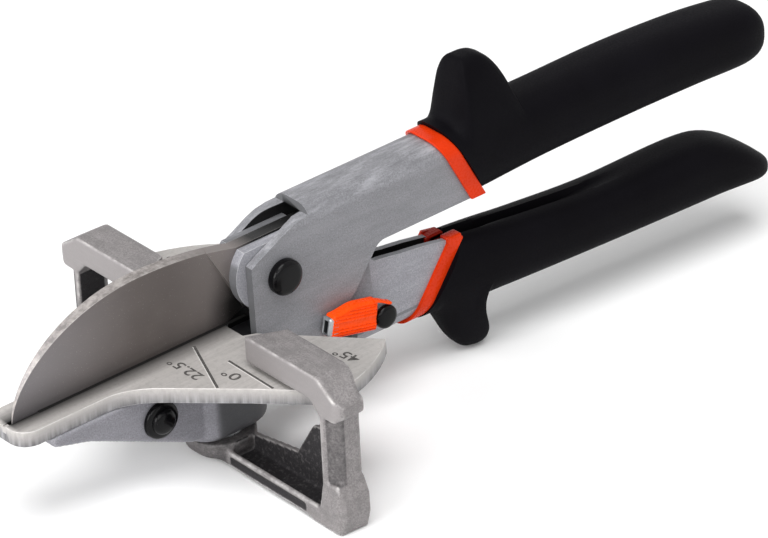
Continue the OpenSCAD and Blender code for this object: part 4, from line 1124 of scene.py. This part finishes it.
def make_floor():
    bm = bmesh.new()
    bmesh.ops.create_grid(bm, x_segments=1, y_segments=1, size=FLOOR_HALF)
    mesh = bpy.data.meshes.new("floor")
    bm.to_mesh(mesh)
    bm.free()
    floor = add_object("floor", mesh)
    floor.location.z = FLOOR_Z
    f = Finish("white_paper", 0.9, 0.0, 0.0)
    tone = f.noise(3, 1)
    mesh.materials.append(f.set(f.ramp(tone, (0.3, (0.97, 0.97, 0.97, 1)), (0.7, (0.985, 0.985, 0.985, 1)))))


def make_world():
    world = bpy.data.worlds.new("studio")
    bpy.context.scene.world = world
    world.use_nodes = True
    tree = world.node_tree
    path = tree.nodes.new("ShaderNodeLightPath")
    seen = path.outputs["Is Camera Ray"]
    for ray in ("Is Glossy Ray", "Is Transmission Ray"):
        both = tree.nodes.new("ShaderNodeMath")
        both.operation = "MAXIMUM"
        tree.links.new(seen, both.inputs[0])
        tree.links.new(path.outputs[ray], both.inputs[1])
        seen = both.outputs["Value"]
    strength = tree.nodes.new("ShaderNodeMapRange")
    strength.inputs["To Min"].default_value = SKY_LIGHT
    strength.inputs["To Max"].default_value = SKY_SEEN
    tree.links.new(seen, strength.inputs["Value"])
    tree.links.new(strength.outputs["Result"], tree.nodes["Background"].inputs["Strength"])
    tree.nodes["Background"].inputs["Color"].default_value = (1, 1, 1, 1)


def lamp(name, kind, place, target, energy):
    light = bpy.data.lights.new(name, kind)
    light.energy = energy
    obj = add_object(name, light)
    obj.location = place
    obj.rotation_mode = "QUATERNION"
    obj.rotation_quaternion = (Vector(target) - Vector(place)).to_track_quat("-Z", "Y")
    return light


def softbox(name, place, size, watts):
    light = lamp(name, "AREA", place, LAMP_TARGET, watts)
    light.shape = "RECTANGLE"
    light.size, light.size_y = size


def soft_sky(name, place, spread, strength):
    """A wide light from one side of the sky, even over the whole floor; spread in degrees."""
    lamp(name, "SUN", place, (0, 0, 0), strength).angle = math.radians(spread)


def make_camera():
    a, e, r = (math.radians(v) for v in VIEW_ANGLES)
    back = Vector((math.sin(a) * math.cos(e), -math.cos(a) * math.cos(e), math.sin(e)))
    level = Vector((math.cos(a), math.sin(a), 0))
    rise = back.cross(level)
    right = math.cos(r) * level + math.sin(r) * rise
    up = -math.sin(r) * level + math.cos(r) * rise
    pixel = DISTANCE / FOCAL
    place = (back * DISTANCE - right * (ORIGIN_SEEN[0] - PICTURE_W / 2) * pixel
             + up * (ORIGIN_SEEN[1] - PICTURE_H / 2) * pixel)
    data = bpy.data.cameras.new("camera")
    data.sensor_fit = "HORIZONTAL"
    data.sensor_width = SENSOR
    data.lens = FOCAL / PICTURE_W * SENSOR
    cam = add_object("camera", data)
    turn = Matrix((right, up, back)).transposed()
    tilt = Matrix.Rotation(-lean, 3, "Y")
    cam.matrix_world = Matrix.Translation(stand @ place) @ (tilt @ turn).to_4x4()
    bpy.context.scene.camera = cam


make_floor()
make_world()
soft_sky("overhead", (-0.25, -0.25, 0.95), spread=40, strength=2.2)
softbox("left", (-0.95, -0.15, 0.35), size=(0.6, 0.5), watts=5.4)
softbox("far_left", (-0.75, 0.55, 0.42), size=(0.4, 0.4), watts=2.6)
softbox("front", (-0.45, -0.8, 0.6), size=(0.7, 0.5), watts=2.3)
softbox("glint", (-0.5, -0.62, 0.42), size=(0.09, 0.09), watts=0.4)
make_camera()
bpy.context.scene.view_settings.view_transform = "Standard"
